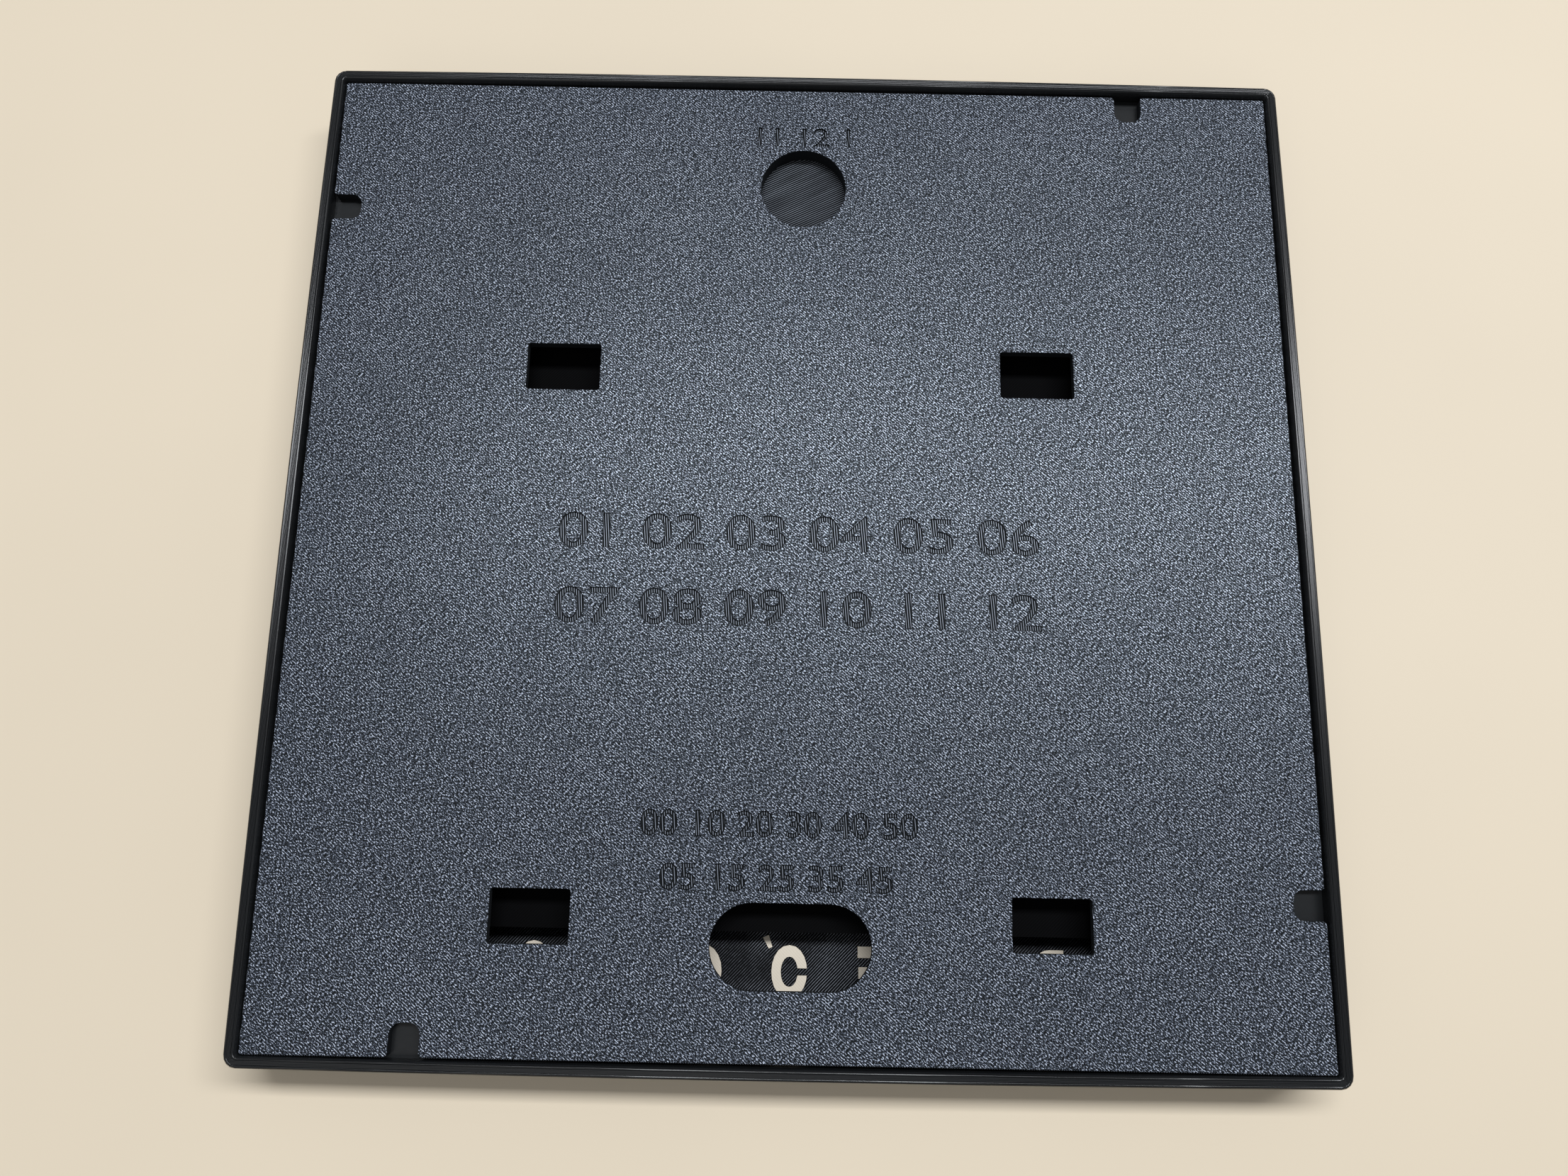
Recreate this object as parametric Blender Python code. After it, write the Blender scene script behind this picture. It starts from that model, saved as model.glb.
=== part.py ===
# Square word clock for a wall, lying on its face. All sizes are in metres.
# The origin is the centre of the front face, +Z points to the rear cover and +Y to the hanger pocket.

import math

import bmesh
import bpy
from mathutils import Matrix, Vector

# Letter grid, set by an LED tape with sixty lights to the metre
LED_PITCH = 0.0166667
COLUMNS = 11
BAFFLED_ROWS = 10
ROWS = BAFFLED_ROWS + 1
GRID_DROP = 0.0014

# Shared clearances
SEAT_GAP = 0.0003
CUT_OVERRUN = 0.001

# Printed case
WALL = 0.002
CASE_CORNER_RADIUS = 0.0024
INNER_CORNER_RADIUS = 0.0006
RIM_BOW = 0.0005
RIM_CHAMFER = 0.0003
FACE_THICKNESS = 0.0012
FACE_CHAMFER = 0.0004

# Light baffle between the letters
BAFFLE_HEIGHT = 0.0045
BAFFLE_WALL = 0.0012
TAPE_NOTCH_DEPTH = 0.0012

# LED tape
TAPE_WIDTH = 0.005
TAPE_THICKNESS = 0.0003
LED_SIDE = 0.0035
LED_HEIGHT = 0.0014
EDGE_TAPE_LIFT = 0.0003

# Carrier plate behind the tapes
CARRIER_THICKNESS = 0.0012
EAR_WIDTH = 0.0064
BOARD_WINDOW_WIDTH = 0.018
BOARD_WINDOW_LENGTH = 0.02
CRADLE_WALL = 0.0014
CRADLE_HEIGHT = 0.0016
CRADLE_STOP_LENGTH = 0.009

# Screws that hold the carrier
SCREW_SHANK_DIAMETER = 0.0022
SCREW_SHANK_LENGTH = 0.005
SCREW_HEAD_DIAMETER = 0.0042
SCREW_HEAD_HEIGHT = 0.0016
SCREW_HOLE_GAP = 0.0002
BOSS_DIAMETER = 0.0058

# Flat three-core ribbon
RIBBON_WIDTH = 0.0027
RIBBON_THICKNESS = 0.0009
RIBBON_WALL_CLEARANCE = 0.0018

# Controller board and what is soldered to it
BOARD_WIDTH = 0.0256
BOARD_THICKNESS = 0.001
BOARD_CORNER_RADIUS = 0.002
BOARD_PARTS_SPACING = 0.004
BOARD_EDGE_TO_OPENING = 0.0022
PINS_A_SIDE = 8
PIN_PITCH = 0.00254
PIN_HOLE_DIAMETER = 0.001
PIN_ROW_INSET = 0.0013
MODULE_WIDTH = 0.016
MODULE_LENGTH = 0.024
MODULE_BASE = 0.0008
MODULE_CAN_HEIGHT = 0.0021
MODULE_CAN_BORDER = 0.0018
MODULE_AERIAL_LENGTH = 0.0062
SOCKET_WIDTH = 0.0076
SOCKET_LENGTH = 0.0056
SOCKET_HEIGHT = 0.0026
SOCKET_SHELL = 0.0003
SOCKET_MOUTH_DEPTH = 0.0045
SOCKET_TONGUE_LENGTH = 0.0032
SOCKET_TONGUE_GAP = 0.0006
SOCKET_OVERHANG = 0.0008
SWITCH_WIDTH = 0.0042
SWITCH_LENGTH = 0.0032
SWITCH_HEIGHT = 0.0015
SWITCH_BORE_DEPTH = 0.001
BUTTON_DIAMETER = 0.0015
BUTTON_PROUD = 0.0006
BUTTON_EDGE_ROUND = 0.0002
TOP_CLEARANCE = 0.0008

# Rear cover
COVER_THICKNESS = 0.002
COVER_RECESS = 0.0012
COVER_FIT = 0.0002
COVER_CORNER_RADIUS = 0.0006
COVER_CHAMFER = 0.0002
WINDOW_WIDTH = 0.015
WINDOW_HEIGHT = 0.01
WINDOW_CORNER_RADIUS = 0.0005
WINDOW_SPACING = 0.0974
UPPER_WINDOW_INSET = 0.0673
LOWER_WINDOW_INSET = 0.0274
CABLE_OPENING_LENGTH = 0.0302
CABLE_OPENING_WIDTH = 0.0157
CABLE_OPENING_INSET = 0.0227
HANGER_DIAMETER = 0.018
HANGER_DEPTH = 0.0035
HANGER_FLOOR = 0.0012
HANGER_WALL = 0.0012
HANGER_INSET = 0.0257
NOTCH_WIDTH = 0.0056
NOTCH_DEPTH = 0.006
NOTCH_CORNER_RADIUS = 0.002
NOTCH_MOUTH_RADIUS = 0.0008
NOTCH_INSET = 0.032

# Ledges that carry the cover below its notches
LEDGE_WIDTH = 0.011
LEDGE_PAST_NOTCH = 0.001
LEDGE_TIP = 0.0015
LEDGE_DROP = 0.004
LUG_SINK = 0.0008

# Facets
SIDE_STEPS = 8
CORNER_STEPS = 4
ROUND_SIDES = 24
SMALL_ROUND_SIDES = 16
LINK_STEPS = 10
CURVE_STEPS = 5

# Worked out from the sizes above
GRID_HALF = COLUMNS * LED_PITCH / 2
INNER_HALF = GRID_HALF + LED_PITCH / 2
CASE_HALF = INNER_HALF + WALL
BAFFLE_HALF = GRID_HALF + BAFFLE_WALL / 2
FIRST_ROW_Y = (ROWS - 1) * LED_PITCH / 2 - GRID_DROP
BAFFLE_HIGH_Y = FIRST_ROW_Y + LED_PITCH / 2 + BAFFLE_WALL / 2
BAFFLE_LOW_Y = BAFFLE_HIGH_Y - BAFFLED_ROWS * LED_PITCH - BAFFLE_WALL

BAFFLE_Z = FACE_THICKNESS + SEAT_GAP
BAFFLE_TOP_Z = BAFFLE_Z + BAFFLE_HEIGHT
CARRIER_Z = BAFFLE_TOP_Z + SEAT_GAP
CARRIER_TOP_Z = CARRIER_Z + CARRIER_THICKNESS
TAPE_BACK_Z = CARRIER_Z - SEAT_GAP
RIBBON_Z = TAPE_BACK_Z - RIBBON_THICKNESS / 2
EDGE_TAPE_Y = SEAT_GAP - INNER_HALF
EDGE_TAPE_Z = BAFFLE_Z + EDGE_TAPE_LIFT + TAPE_WIDTH / 2
BOARD_Z = CARRIER_TOP_Z + SEAT_GAP
BOARD_TOP_Z = BOARD_Z + BOARD_THICKNESS
PARTS_Z = BOARD_TOP_Z + SEAT_GAP
MODULE_TOP_Z = PARTS_Z + MODULE_BASE + MODULE_CAN_HEIGHT
COVER_Z = MODULE_TOP_Z + TOP_CLEARANCE
COVER_TOP_Z = COVER_Z + COVER_THICKNESS
CASE_DEPTH = COVER_TOP_Z + COVER_RECESS

COVER_HALF = INNER_HALF - COVER_FIT
HANGER_Y = CASE_HALF - HANGER_INSET
CABLE_OPENING_Y = CABLE_OPENING_INSET - CASE_HALF
NOTCH_OFFSET = CASE_HALF - NOTCH_INSET
BOARD_LOW_Y = CABLE_OPENING_Y + CABLE_OPENING_WIDTH / 2 + BOARD_EDGE_TO_OPENING
FRONT_PARTS_LENGTH = max(BOARD_CORNER_RADIUS + SWITCH_LENGTH, SOCKET_LENGTH - SOCKET_OVERHANG)
MODULE_LOW_Y = BOARD_LOW_Y + FRONT_PARTS_LENGTH + BOARD_PARTS_SPACING
MODULE_HIGH_Y = MODULE_LOW_Y + MODULE_LENGTH
BOARD_HIGH_Y = MODULE_HIGH_Y + BOARD_CORNER_RADIUS / 2
BOARD_LENGTH = BOARD_HIGH_Y - BOARD_LOW_Y
BOARD_MIDDLE_Y = (BOARD_LOW_Y + BOARD_HIGH_Y) / 2
EAR_X = (BAFFLE_HALF + INNER_HALF) / 2
RIBBON_START_X = GRID_HALF + SEAT_GAP

COLOURS = {
    "rear_print": ((0.055, 0.06, 0.07), 0.55, 0.0),
    "case_print": ((0.02, 0.02, 0.022), 0.4, 0.0),
    "face_print": ((0.018, 0.018, 0.02), 0.45, 0.0),
    "inner_print": ((0.03, 0.03, 0.032), 0.6, 0.0),
    "led_tape": ((0.8, 0.8, 0.78), 0.5, 0.0),
    "ribbon": ((0.5, 0.03, 0.03), 0.5, 0.0),
    "circuit_board": ((0.01, 0.08, 0.2), 0.4, 0.0),
    "shield_can": ((0.65, 0.65, 0.66), 0.3, 1.0),
    "switch_body": ((0.6, 0.6, 0.62), 0.35, 1.0),
    "button_cap": ((0.85, 0.85, 0.82), 0.4, 0.0),
    "screw_steel": ((0.45, 0.45, 0.47), 0.3, 1.0),
}


def clear_scene():
    for old in list(bpy.data.objects):
        bpy.data.objects.remove(old, do_unlink=True)


def finish(name):
    found = bpy.data.materials.get(name)
    if found:
        return found
    colour, roughness, metallic = COLOURS[name]
    made = bpy.data.materials.new(name)
    made.use_nodes = True
    shader = made.node_tree.nodes["Principled BSDF"]
    shader.inputs["Base Color"].default_value = (*colour, 1.0)
    shader.inputs["Roughness"].default_value = roughness
    shader.inputs["Metallic"].default_value = metallic
    return made


def add_object(name, shape, finish_name, place=(0, 0, 0)):
    """Turns a bmesh into a named object. The shape is drawn round the place given."""
    bmesh.ops.recalc_face_normals(shape, faces=shape.faces)
    mesh = bpy.data.meshes.new(name)
    shape.to_mesh(mesh)
    shape.free()
    made = bpy.data.objects.new(name, mesh)
    made.location = place
    bpy.context.scene.collection.objects.link(made)
    if finish_name:
        mesh.materials.append(finish(finish_name))
    return made


def add_tool(name, shape, place=(0, 0, 0)):
    """A shape that is only joined to a piece or cut from it."""
    tool = add_object(name, shape, None, place)
    tool.hide_render = True
    tool.display_type = "WIRE"
    return tool


def combine(piece, tool, operation):
    step = piece.modifiers.new(tool.name, "BOOLEAN")
    step.operation = operation
    step.object = tool
    step.solver = "EXACT"


def smooth(piece, angle_share=1 / 6):
    """Shades a round piece smooth, apart from its edges sharper than this share of a half turn."""
    piece.data.shade_smooth()
    piece.data.set_sharp_from_angle(angle=math.pi * angle_share)


def add_box(shape, low, high):
    low, high = Vector(low), Vector(high)
    size = high - low
    place = Matrix.Translation((low + high) / 2) @ Matrix.Diagonal((*size, 1))
    bmesh.ops.create_cube(shape, size=1, matrix=place)


def add_cylinder(shape, centre, radius, low, high, sides=ROUND_SIDES):
    place = Matrix.Translation((centre[0], centre[1], (low + high) / 2))
    bmesh.ops.create_cone(shape, cap_ends=True, segments=sides, radius1=radius, radius2=radius,
                          depth=high - low, matrix=place)


def add_prism(shape, outline, low, high):
    """Extrudes a flat outline from one height to another."""
    corners = [shape.verts.new((x, y, low)) for x, y in outline]
    base = shape.faces.new(corners)
    raised = bmesh.ops.extrude_face_region(shape, geom=[base])
    moved = [item for item in raised["geom"] if isinstance(item, bmesh.types.BMVert)]
    bmesh.ops.translate(shape, verts=moved, vec=(0, 0, high - low))


def add_loft(shape, rings, closed):
    """Skins rings of points. A closed loft joins the last ring to the first, an open one gets end faces."""
    loops = [[shape.verts.new(point) for point in ring] for ring in rings]
    pairs = list(zip(loops, loops[1:]))
    if closed:
        pairs.append((loops[-1], loops[0]))
    for low, high in pairs:
        for i, corner in enumerate(low):
            following = (i + 1) % len(low)
            shape.faces.new((corner, low[following], high[following], high[i]))
    if not closed:
        shape.faces.new(loops[0])
        shape.faces.new(loops[-1])


def arc(centre, radius, start, turn, steps):
    """Points of a flat arc, from the start angle through the turn."""
    angles = [start + turn * i / steps for i in range(steps + 1)]
    return [(centre[0] + radius * math.cos(a), centre[1] + radius * math.sin(a)) for a in angles]


def rounded_rectangle(width, height, radius, centre=(0, 0)):
    across, up = width / 2 - radius, height / 2 - radius
    outline = []
    for quarter, (side, rise) in enumerate(((1, 1), (-1, 1), (-1, -1), (1, -1))):
        middle = (centre[0] + side * across, centre[1] + rise * up)
        outline += arc(middle, radius, quarter * math.pi / 2, math.pi / 2, CORNER_STEPS)
    return outline


def bowed_square(half, radius, z, bow):
    """A square ring of points with round corners, whose sides swell by the bow at their middles."""
    ring = []
    straight = half - radius
    for quarter in range(4):
        turn = Matrix.Rotation(quarter * math.pi / 2, 4, "Z")
        corner = arc((straight, -straight), radius, -math.pi / 4, math.pi / 4, CORNER_STEPS // 2)
        side = []
        for i in range(1, SIDE_STEPS):
            along = 2 * i / SIDE_STEPS - 1
            side.append((half + bow * (1 - along * along), straight * along))
        far = arc((straight, straight), radius, 0, math.pi / 4, CORNER_STEPS // 2)[:-1]
        ring += [turn @ Vector((x, y, z)) for x, y in corner + side + far]
    return ring


def make_case_frame():
    """Four printed walls that lean out a little at the rim, with cover ledges and screw bosses inside."""
    low = FACE_THICKNESS + SEAT_GAP
    height = CASE_DEPTH - low

    def ring(half, radius, z):
        return bowed_square(half, radius, z, RIM_BOW * (z - low) / height)

    shape = bmesh.new()
    add_loft(shape, (
        ring(CASE_HALF, CASE_CORNER_RADIUS, low),
        ring(CASE_HALF, CASE_CORNER_RADIUS, CASE_DEPTH - RIM_CHAMFER),
        ring(CASE_HALF - RIM_CHAMFER, CASE_CORNER_RADIUS - RIM_CHAMFER, CASE_DEPTH),
        ring(INNER_HALF + RIM_CHAMFER, INNER_CORNER_RADIUS + RIM_CHAMFER, CASE_DEPTH),
        ring(INNER_HALF, INNER_CORNER_RADIUS, CASE_DEPTH - RIM_CHAMFER),
        ring(INNER_HALF, INNER_CORNER_RADIUS, low),
    ), closed=True)
    frame = add_object("case_frame", shape, "case_print")
    combine(frame, add_tool("case_lugs", ledges_and_bosses()), "UNION")
    combine(frame, add_tool("boss_holes", screw_holes(SCREW_SHANK_LENGTH)), "DIFFERENCE")
    smooth(frame)


def quarter_turns():
    """One turn for each side of the case, starting from the right."""
    return [Matrix.Rotation(quarter * math.pi / 2, 4, "Z") for quarter in range(4)]


def ear_places():
    """Where the carrier is screwed down: two places a side, each in a gap between two ribbon loops."""
    gaps_by_side = ((1, (1, BAFFLED_ROWS - 3)), (-1, (2, BAFFLED_ROWS - 2)))
    return [(side * EAR_X, row_y(row) - LED_PITCH / 2) for side, rows in gaps_by_side for row in rows]


def ledges_and_bosses():
    shape = bmesh.new()
    top = COVER_Z - SEAT_GAP
    tip = COVER_HALF - NOTCH_DEPTH - LEDGE_PAST_NOTCH
    root = INNER_HALF + LUG_SINK
    profile = ((tip, top), (root, top), (root, top - LEDGE_TIP - LEDGE_DROP), (tip, top - LEDGE_TIP))
    for turn in quarter_turns():
        middle = -NOTCH_OFFSET
        ends = (middle - LEDGE_WIDTH / 2, middle + LEDGE_WIDTH / 2)
        rings = [[turn @ Vector((x, y, z)) for x, z in profile] for y in ends]
        add_loft(shape, rings, closed=False)
    boss_top = CARRIER_Z - SEAT_GAP
    boss_low = FACE_THICKNESS + SEAT_GAP
    for place in ear_places():
        wall = math.copysign(INNER_HALF + LUG_SINK, place[0])
        add_prism(shape, lug_outline(place, BOSS_DIAMETER / 2, wall), boss_low, boss_top)
    return shape


def lug_outline(place, radius, root):
    """A half-round lug at a place, with straight sides back to its root."""
    x, y = place
    facing = math.copysign(1, x - root)
    dome = arc(place, radius, -facing * math.pi / 2, math.pi, SMALL_ROUND_SIDES // 2)
    return dome + [(root, y + facing * radius), (root, y - facing * radius)]


def screw_holes(depth):
    """Holes at the carrier's screws, from above the carrier down to this depth below the heads."""
    shape = bmesh.new()
    radius = SCREW_SHANK_DIAMETER / 2 + SCREW_HOLE_GAP
    for place in ear_places():
        low = CARRIER_TOP_Z - depth
        add_cylinder(shape, place, radius, low, CARRIER_TOP_Z + CUT_OVERRUN, SMALL_ROUND_SIDES)
    return shape


def make_front_panel():
    """The printed face. Its letters are let into it in another colour."""
    shape = bmesh.new()
    inner = CASE_HALF - FACE_CHAMFER
    add_loft(shape, (
        bowed_square(inner, CASE_CORNER_RADIUS - FACE_CHAMFER, 0, 0),
        bowed_square(CASE_HALF, CASE_CORNER_RADIUS, FACE_CHAMFER, 0),
        bowed_square(CASE_HALF, CASE_CORNER_RADIUS, FACE_THICKNESS, 0),
    ), closed=False)
    smooth(add_object("front_panel", shape, "face_print"))


def wall_edges(count, start):
    """Both faces of each wall in a row of cells, from the first wall's centre line on."""
    edges = []
    for i in range(count + 1):
        centre = start + i * LED_PITCH
        edges += [centre - BAFFLE_WALL / 2, centre + BAFFLE_WALL / 2]
    return edges


def add_plate_grid(shape, xs, ys, z, keep):
    """Flat faces between the given lines, left out where keep says so. Returns them by place."""
    corners = [[shape.verts.new((x, y, z)) for y in ys] for x in xs]
    kept = {}
    for i in range(len(xs) - 1):
        for j in range(len(ys) - 1):
            if keep(i, j):
                around = (corners[i][j], corners[i + 1][j], corners[i + 1][j + 1], corners[i][j + 1])
                kept[i, j] = shape.faces.new(around)
    loose = [vert for vert in shape.verts if not vert.link_faces]
    bmesh.ops.delete(shape, geom=loose, context="VERTS")
    return kept


def raise_faces(shape, faces, offset):
    raised = bmesh.ops.extrude_face_region(shape, geom=faces)
    moved = [item for item in raised["geom"] if isinstance(item, bmesh.types.BMVert)]
    bmesh.ops.translate(shape, verts=moved, vec=offset)


def make_light_baffle():
    """Egg-crate grid that keeps each letter's light apart, with a pass for the tape in every upright wall."""
    shape = bmesh.new()
    xs = wall_edges(COLUMNS, -GRID_HALF)
    ys = wall_edges(BAFFLED_ROWS, BAFFLE_LOW_Y + BAFFLE_WALL / 2)
    walls = add_plate_grid(shape, xs, ys, BAFFLE_Z, lambda i, j: i % 2 == 0 or j % 2 == 0)
    raise_faces(shape, list(walls.values()), (0, 0, BAFFLE_HEIGHT))
    baffle = add_object("light_baffle", shape, "inner_print")
    passes = bmesh.new()
    reach = BAFFLE_HALF + CUT_OVERRUN
    half_width = TAPE_WIDTH / 2 + SEAT_GAP
    for row in range(BAFFLED_ROWS):
        y = row_y(row)
        low = (-reach, y - half_width, BAFFLE_TOP_Z - TAPE_NOTCH_DEPTH)
        add_box(passes, low, (reach, y + half_width, BAFFLE_TOP_Z + CUT_OVERRUN))
    combine(baffle, add_tool("tape_passes", passes), "DIFFERENCE")


def row_y(row):
    return FIRST_ROW_Y - row * LED_PITCH


def tape_mesh():
    """A length of tape drawn round its middle, back face at zero height, lights pointing down."""
    half_length, half_width, half_led = GRID_HALF, TAPE_WIDTH / 2, LED_SIDE / 2
    xs = [-half_length]
    for column in range(COLUMNS):
        centre = (column - (COLUMNS - 1) / 2) * LED_PITCH
        xs += [centre - half_led, centre + half_led]
    xs.append(half_length)
    ys = [-half_width, -half_led, half_led, half_width]
    shape = bmesh.new()
    faces = add_plate_grid(shape, xs, ys, -TAPE_THICKNESS, lambda i, j: True)
    lights = [face for (i, j), face in faces.items() if i % 2 == 1 and j == 1]
    raise_faces(shape, list(faces.values()), (0, 0, TAPE_THICKNESS))
    sunk = bmesh.ops.extrude_discrete_faces(shape, faces=lights)
    for face in sunk["faces"]:
        bmesh.ops.translate(shape, verts=face.verts, vec=(0, 0, -LED_HEIGHT))
    bmesh.ops.recalc_face_normals(shape, faces=shape.faces)
    mesh = bpy.data.meshes.new("led_tape")
    shape.to_mesh(mesh)
    shape.free()
    mesh.materials.append(finish("led_tape"))
    return mesh


def make_led_tapes():
    mesh = tape_mesh()
    for row in range(BAFFLED_ROWS):
        tape = bpy.data.objects.new(f"led_tape_row_{row + 1:02d}", mesh)
        tape.location = (0, row_y(row), TAPE_BACK_Z)
        bpy.context.scene.collection.objects.link(tape)
    edge_tape = bpy.data.objects.new("led_tape_bottom_edge", mesh)
    edge_tape.location = (0, EDGE_TAPE_Y, EDGE_TAPE_Z)
    edge_tape.rotation_euler = (math.pi / 2, 0, 0)
    bpy.context.scene.collection.objects.link(edge_tape)


def make_led_carrier():
    """Plate that backs the baffle, with four screwed ears and a cradle for the controller board."""
    shape = bmesh.new()
    add_box(shape, (-BAFFLE_HALF, BAFFLE_LOW_Y, CARRIER_Z), (BAFFLE_HALF, BAFFLE_HIGH_Y, CARRIER_TOP_Z))
    carrier = add_object("led_carrier", shape, "inner_print")

    ears = bmesh.new()
    for place in ear_places():
        root = math.copysign(BAFFLE_HALF - LUG_SINK, place[0])
        add_prism(ears, lug_outline(place, EAR_WIDTH / 2, root), CARRIER_Z, CARRIER_TOP_Z)
    combine(carrier, add_tool("carrier_ears", ears), "UNION")

    cradle = bmesh.new()
    inside = BOARD_WIDTH / 2 + SEAT_GAP
    top = CARRIER_TOP_Z + CRADLE_HEIGHT
    sunk = CARRIER_TOP_Z - CARRIER_THICKNESS / 2
    third = BOARD_LENGTH / 3
    for side in (-1, 1):
        xs = sorted((side * inside, side * (inside + CRADLE_WALL)))
        add_box(cradle, (xs[0], BOARD_LOW_Y + third, sunk), (xs[1], BOARD_HIGH_Y - third, top))
    stop = BOARD_HIGH_Y + SEAT_GAP
    half_stop = CRADLE_STOP_LENGTH / 2
    add_box(cradle, (-half_stop, stop, sunk), (half_stop, stop + CRADLE_WALL, top))
    combine(carrier, add_tool("board_cradle", cradle), "UNION")

    window = bmesh.new()
    outline = rounded_rectangle(BOARD_WINDOW_WIDTH, BOARD_WINDOW_LENGTH, BOARD_CORNER_RADIUS,
                                (0, BOARD_MIDDLE_Y))
    add_prism(window, outline, CARRIER_Z - CUT_OVERRUN, CARRIER_TOP_Z + CUT_OVERRUN)
    combine(carrier, add_tool("board_window", window), "DIFFERENCE")
    holes = screw_holes(CARRIER_THICKNESS + CUT_OVERRUN)
    combine(carrier, add_tool("carrier_holes", holes), "DIFFERENCE")


def make_carrier_screws():
    """Pan-head screws, each a turned profile."""
    shank, head = SCREW_SHANK_DIAMETER / 2, SCREW_HEAD_DIAMETER / 2
    top = SEAT_GAP + SCREW_HEAD_HEIGHT
    profile = [(0, top), (head / 2, top), (head, top - SCREW_HEAD_HEIGHT / 2), (head, SEAT_GAP),
               (shank, SEAT_GAP), (shank, shank - SCREW_SHANK_LENGTH + SEAT_GAP),
               (0, SEAT_GAP - SCREW_SHANK_LENGTH)]
    for number, (x, y) in enumerate(ear_places(), 1):
        shape = bmesh.new()
        turned_profile(shape, profile, SMALL_ROUND_SIDES)
        smooth(add_object(f"carrier_screw_{number}", shape, "screw_steel", (x, y, CARRIER_TOP_Z)))


def turned_profile(shape, profile, sides):
    """Spins a profile, whose ends lie on the axis, round +Z."""
    points = [shape.verts.new((radius, 0, z)) for radius, z in profile]
    edges = [shape.edges.new(pair) for pair in zip(points, points[1:])]
    bmesh.ops.spin(shape, geom=points + edges, cent=(0, 0, 0), axis=(0, 0, 1),
                   angle=2 * math.pi, steps=sides, use_merge=True)
    bmesh.ops.remove_doubles(shape, verts=shape.verts, dist=SEAT_GAP / 30)


def ribbon_section():
    """Outline of a flat ribbon with half-round edges, as places across it and through it."""
    radius = RIBBON_THICKNESS / 2
    middle = RIBBON_WIDTH / 2 - radius
    right = arc((middle, 0), radius, -math.pi / 2, math.pi, 3)
    left = arc((-middle, 0), radius, math.pi / 2, math.pi, 3)
    return right + left


def add_ribbon(name, path, side, twist=0):
    """Sweeps the ribbon's outline along a path. The side direction is carried along, plus an even twist."""
    shape = bmesh.new()
    rings = []
    side = Vector(side)
    for i, point in enumerate(path):
        before, after = path[max(i - 1, 0)], path[min(i + 1, len(path) - 1)]
        along = (after - before).normalized()
        side = (side - side.dot(along) * along).normalized()
        turned = Matrix.Rotation(twist * i / (len(path) - 1), 3, along) @ side
        through = along.cross(turned)
        rings.append([point + across * turned + up * through for across, up in ribbon_section()])
    add_loft(shape, rings, closed=False)
    smooth(add_object(name, shape, "ribbon"), 1 / 3)


def curve_through(points):
    """A smooth path through places, with a few steps from each to the next."""
    ends = [points[0] * 2 - points[1], *points, points[-1] * 2 - points[-2]]
    path = []
    for a, b, c, d in zip(ends, ends[1:], ends[2:], ends[3:]):
        for i in range(CURVE_STEPS):
            t = i / CURVE_STEPS
            path.append((b * 2 + (c - a) * t + (a * 2 - b * 5 + c * 4 - d) * t * t
                         + (b * 3 - a - c * 3 + d) * t * t * t) / 2)
    return path + [points[-1]]


def make_row_links():
    """Ribbon loops that join each row of lights to the next, at alternate ends."""
    reach = INNER_HALF - RIBBON_WALL_CLEARANCE - RIBBON_WIDTH / 2 - RIBBON_START_X
    for row in range(BAFFLED_ROWS - 1):
        side = 1 if row % 2 == 0 else -1
        middle = row_y(row) - LED_PITCH / 2
        path = []
        for i in range(LINK_STEPS + 1):
            angle = math.pi * i / LINK_STEPS
            x = side * (RIBBON_START_X + reach * math.sin(angle))
            path.append(Vector((x, middle + LED_PITCH / 2 * math.cos(angle), RIBBON_Z)))
        add_ribbon(f"row_link_{row + 1:02d}", path, (0, 1, 0))


def make_bottom_link():
    """Ribbon from the last baffled row down to the tape on the bottom wall, turned on edge as it goes."""
    out = INNER_HALF - RIBBON_WALL_CLEARANCE - RIBBON_WIDTH / 2
    last = row_y(BAFFLED_ROWS - 1)
    tape_y = EDGE_TAPE_Y + RIBBON_THICKNESS / 2
    corner = (out - RIBBON_START_X) / 2
    places = [
        Vector((-RIBBON_START_X, last, RIBBON_Z)),
        Vector((-RIBBON_START_X - corner, last - corner / 4, RIBBON_Z)),
        Vector((-out, last - corner * 2, RIBBON_Z)),
        Vector((-out, (last + tape_y) / 2, (RIBBON_Z + EDGE_TAPE_Z) / 2)),
        Vector((-out, tape_y + corner * 2, EDGE_TAPE_Z)),
        Vector((-RIBBON_START_X - corner, tape_y + corner / 4, EDGE_TAPE_Z)),
        Vector((-RIBBON_START_X, tape_y, EDGE_TAPE_Z)),
    ]
    add_ribbon("bottom_row_link", curve_through(places), (0, 1, 0), math.pi / 2)


def make_feed_ribbon():
    """Ribbon from the controller, over the carrier's back and round its edge to the first row."""
    back = CARRIER_TOP_Z + SEAT_GAP + RIBBON_THICKNESS / 2
    start_x = -CRADLE_STOP_LENGTH / 2 - RIBBON_WIDTH / 2 - CRADLE_WALL
    first = row_y(0)
    start_y = BOARD_HIGH_Y + SEAT_GAP
    edge = BAFFLE_HALF + SEAT_GAP * 2
    bend = (back - RIBBON_Z) / 2
    places = [
        Vector((start_x, start_y, back)),
        Vector((start_x, start_y + LED_PITCH, back)),
        Vector((start_x, row_y(3), back)),
        Vector((start_x - LED_PITCH / 2, row_y(1), back)),
        Vector((start_x - LED_PITCH * 2, first, back)),
        Vector((-GRID_HALF + LED_PITCH / 2, first, back)),
        Vector((-edge, first, back)),
        Vector((-edge - bend, first, back - bend)),
        Vector((-edge, first, RIBBON_Z)),
        Vector((-RIBBON_START_X, first, RIBBON_Z)),
    ]
    add_ribbon("feed_ribbon", curve_through(places), (1, 0, 0))


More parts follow.
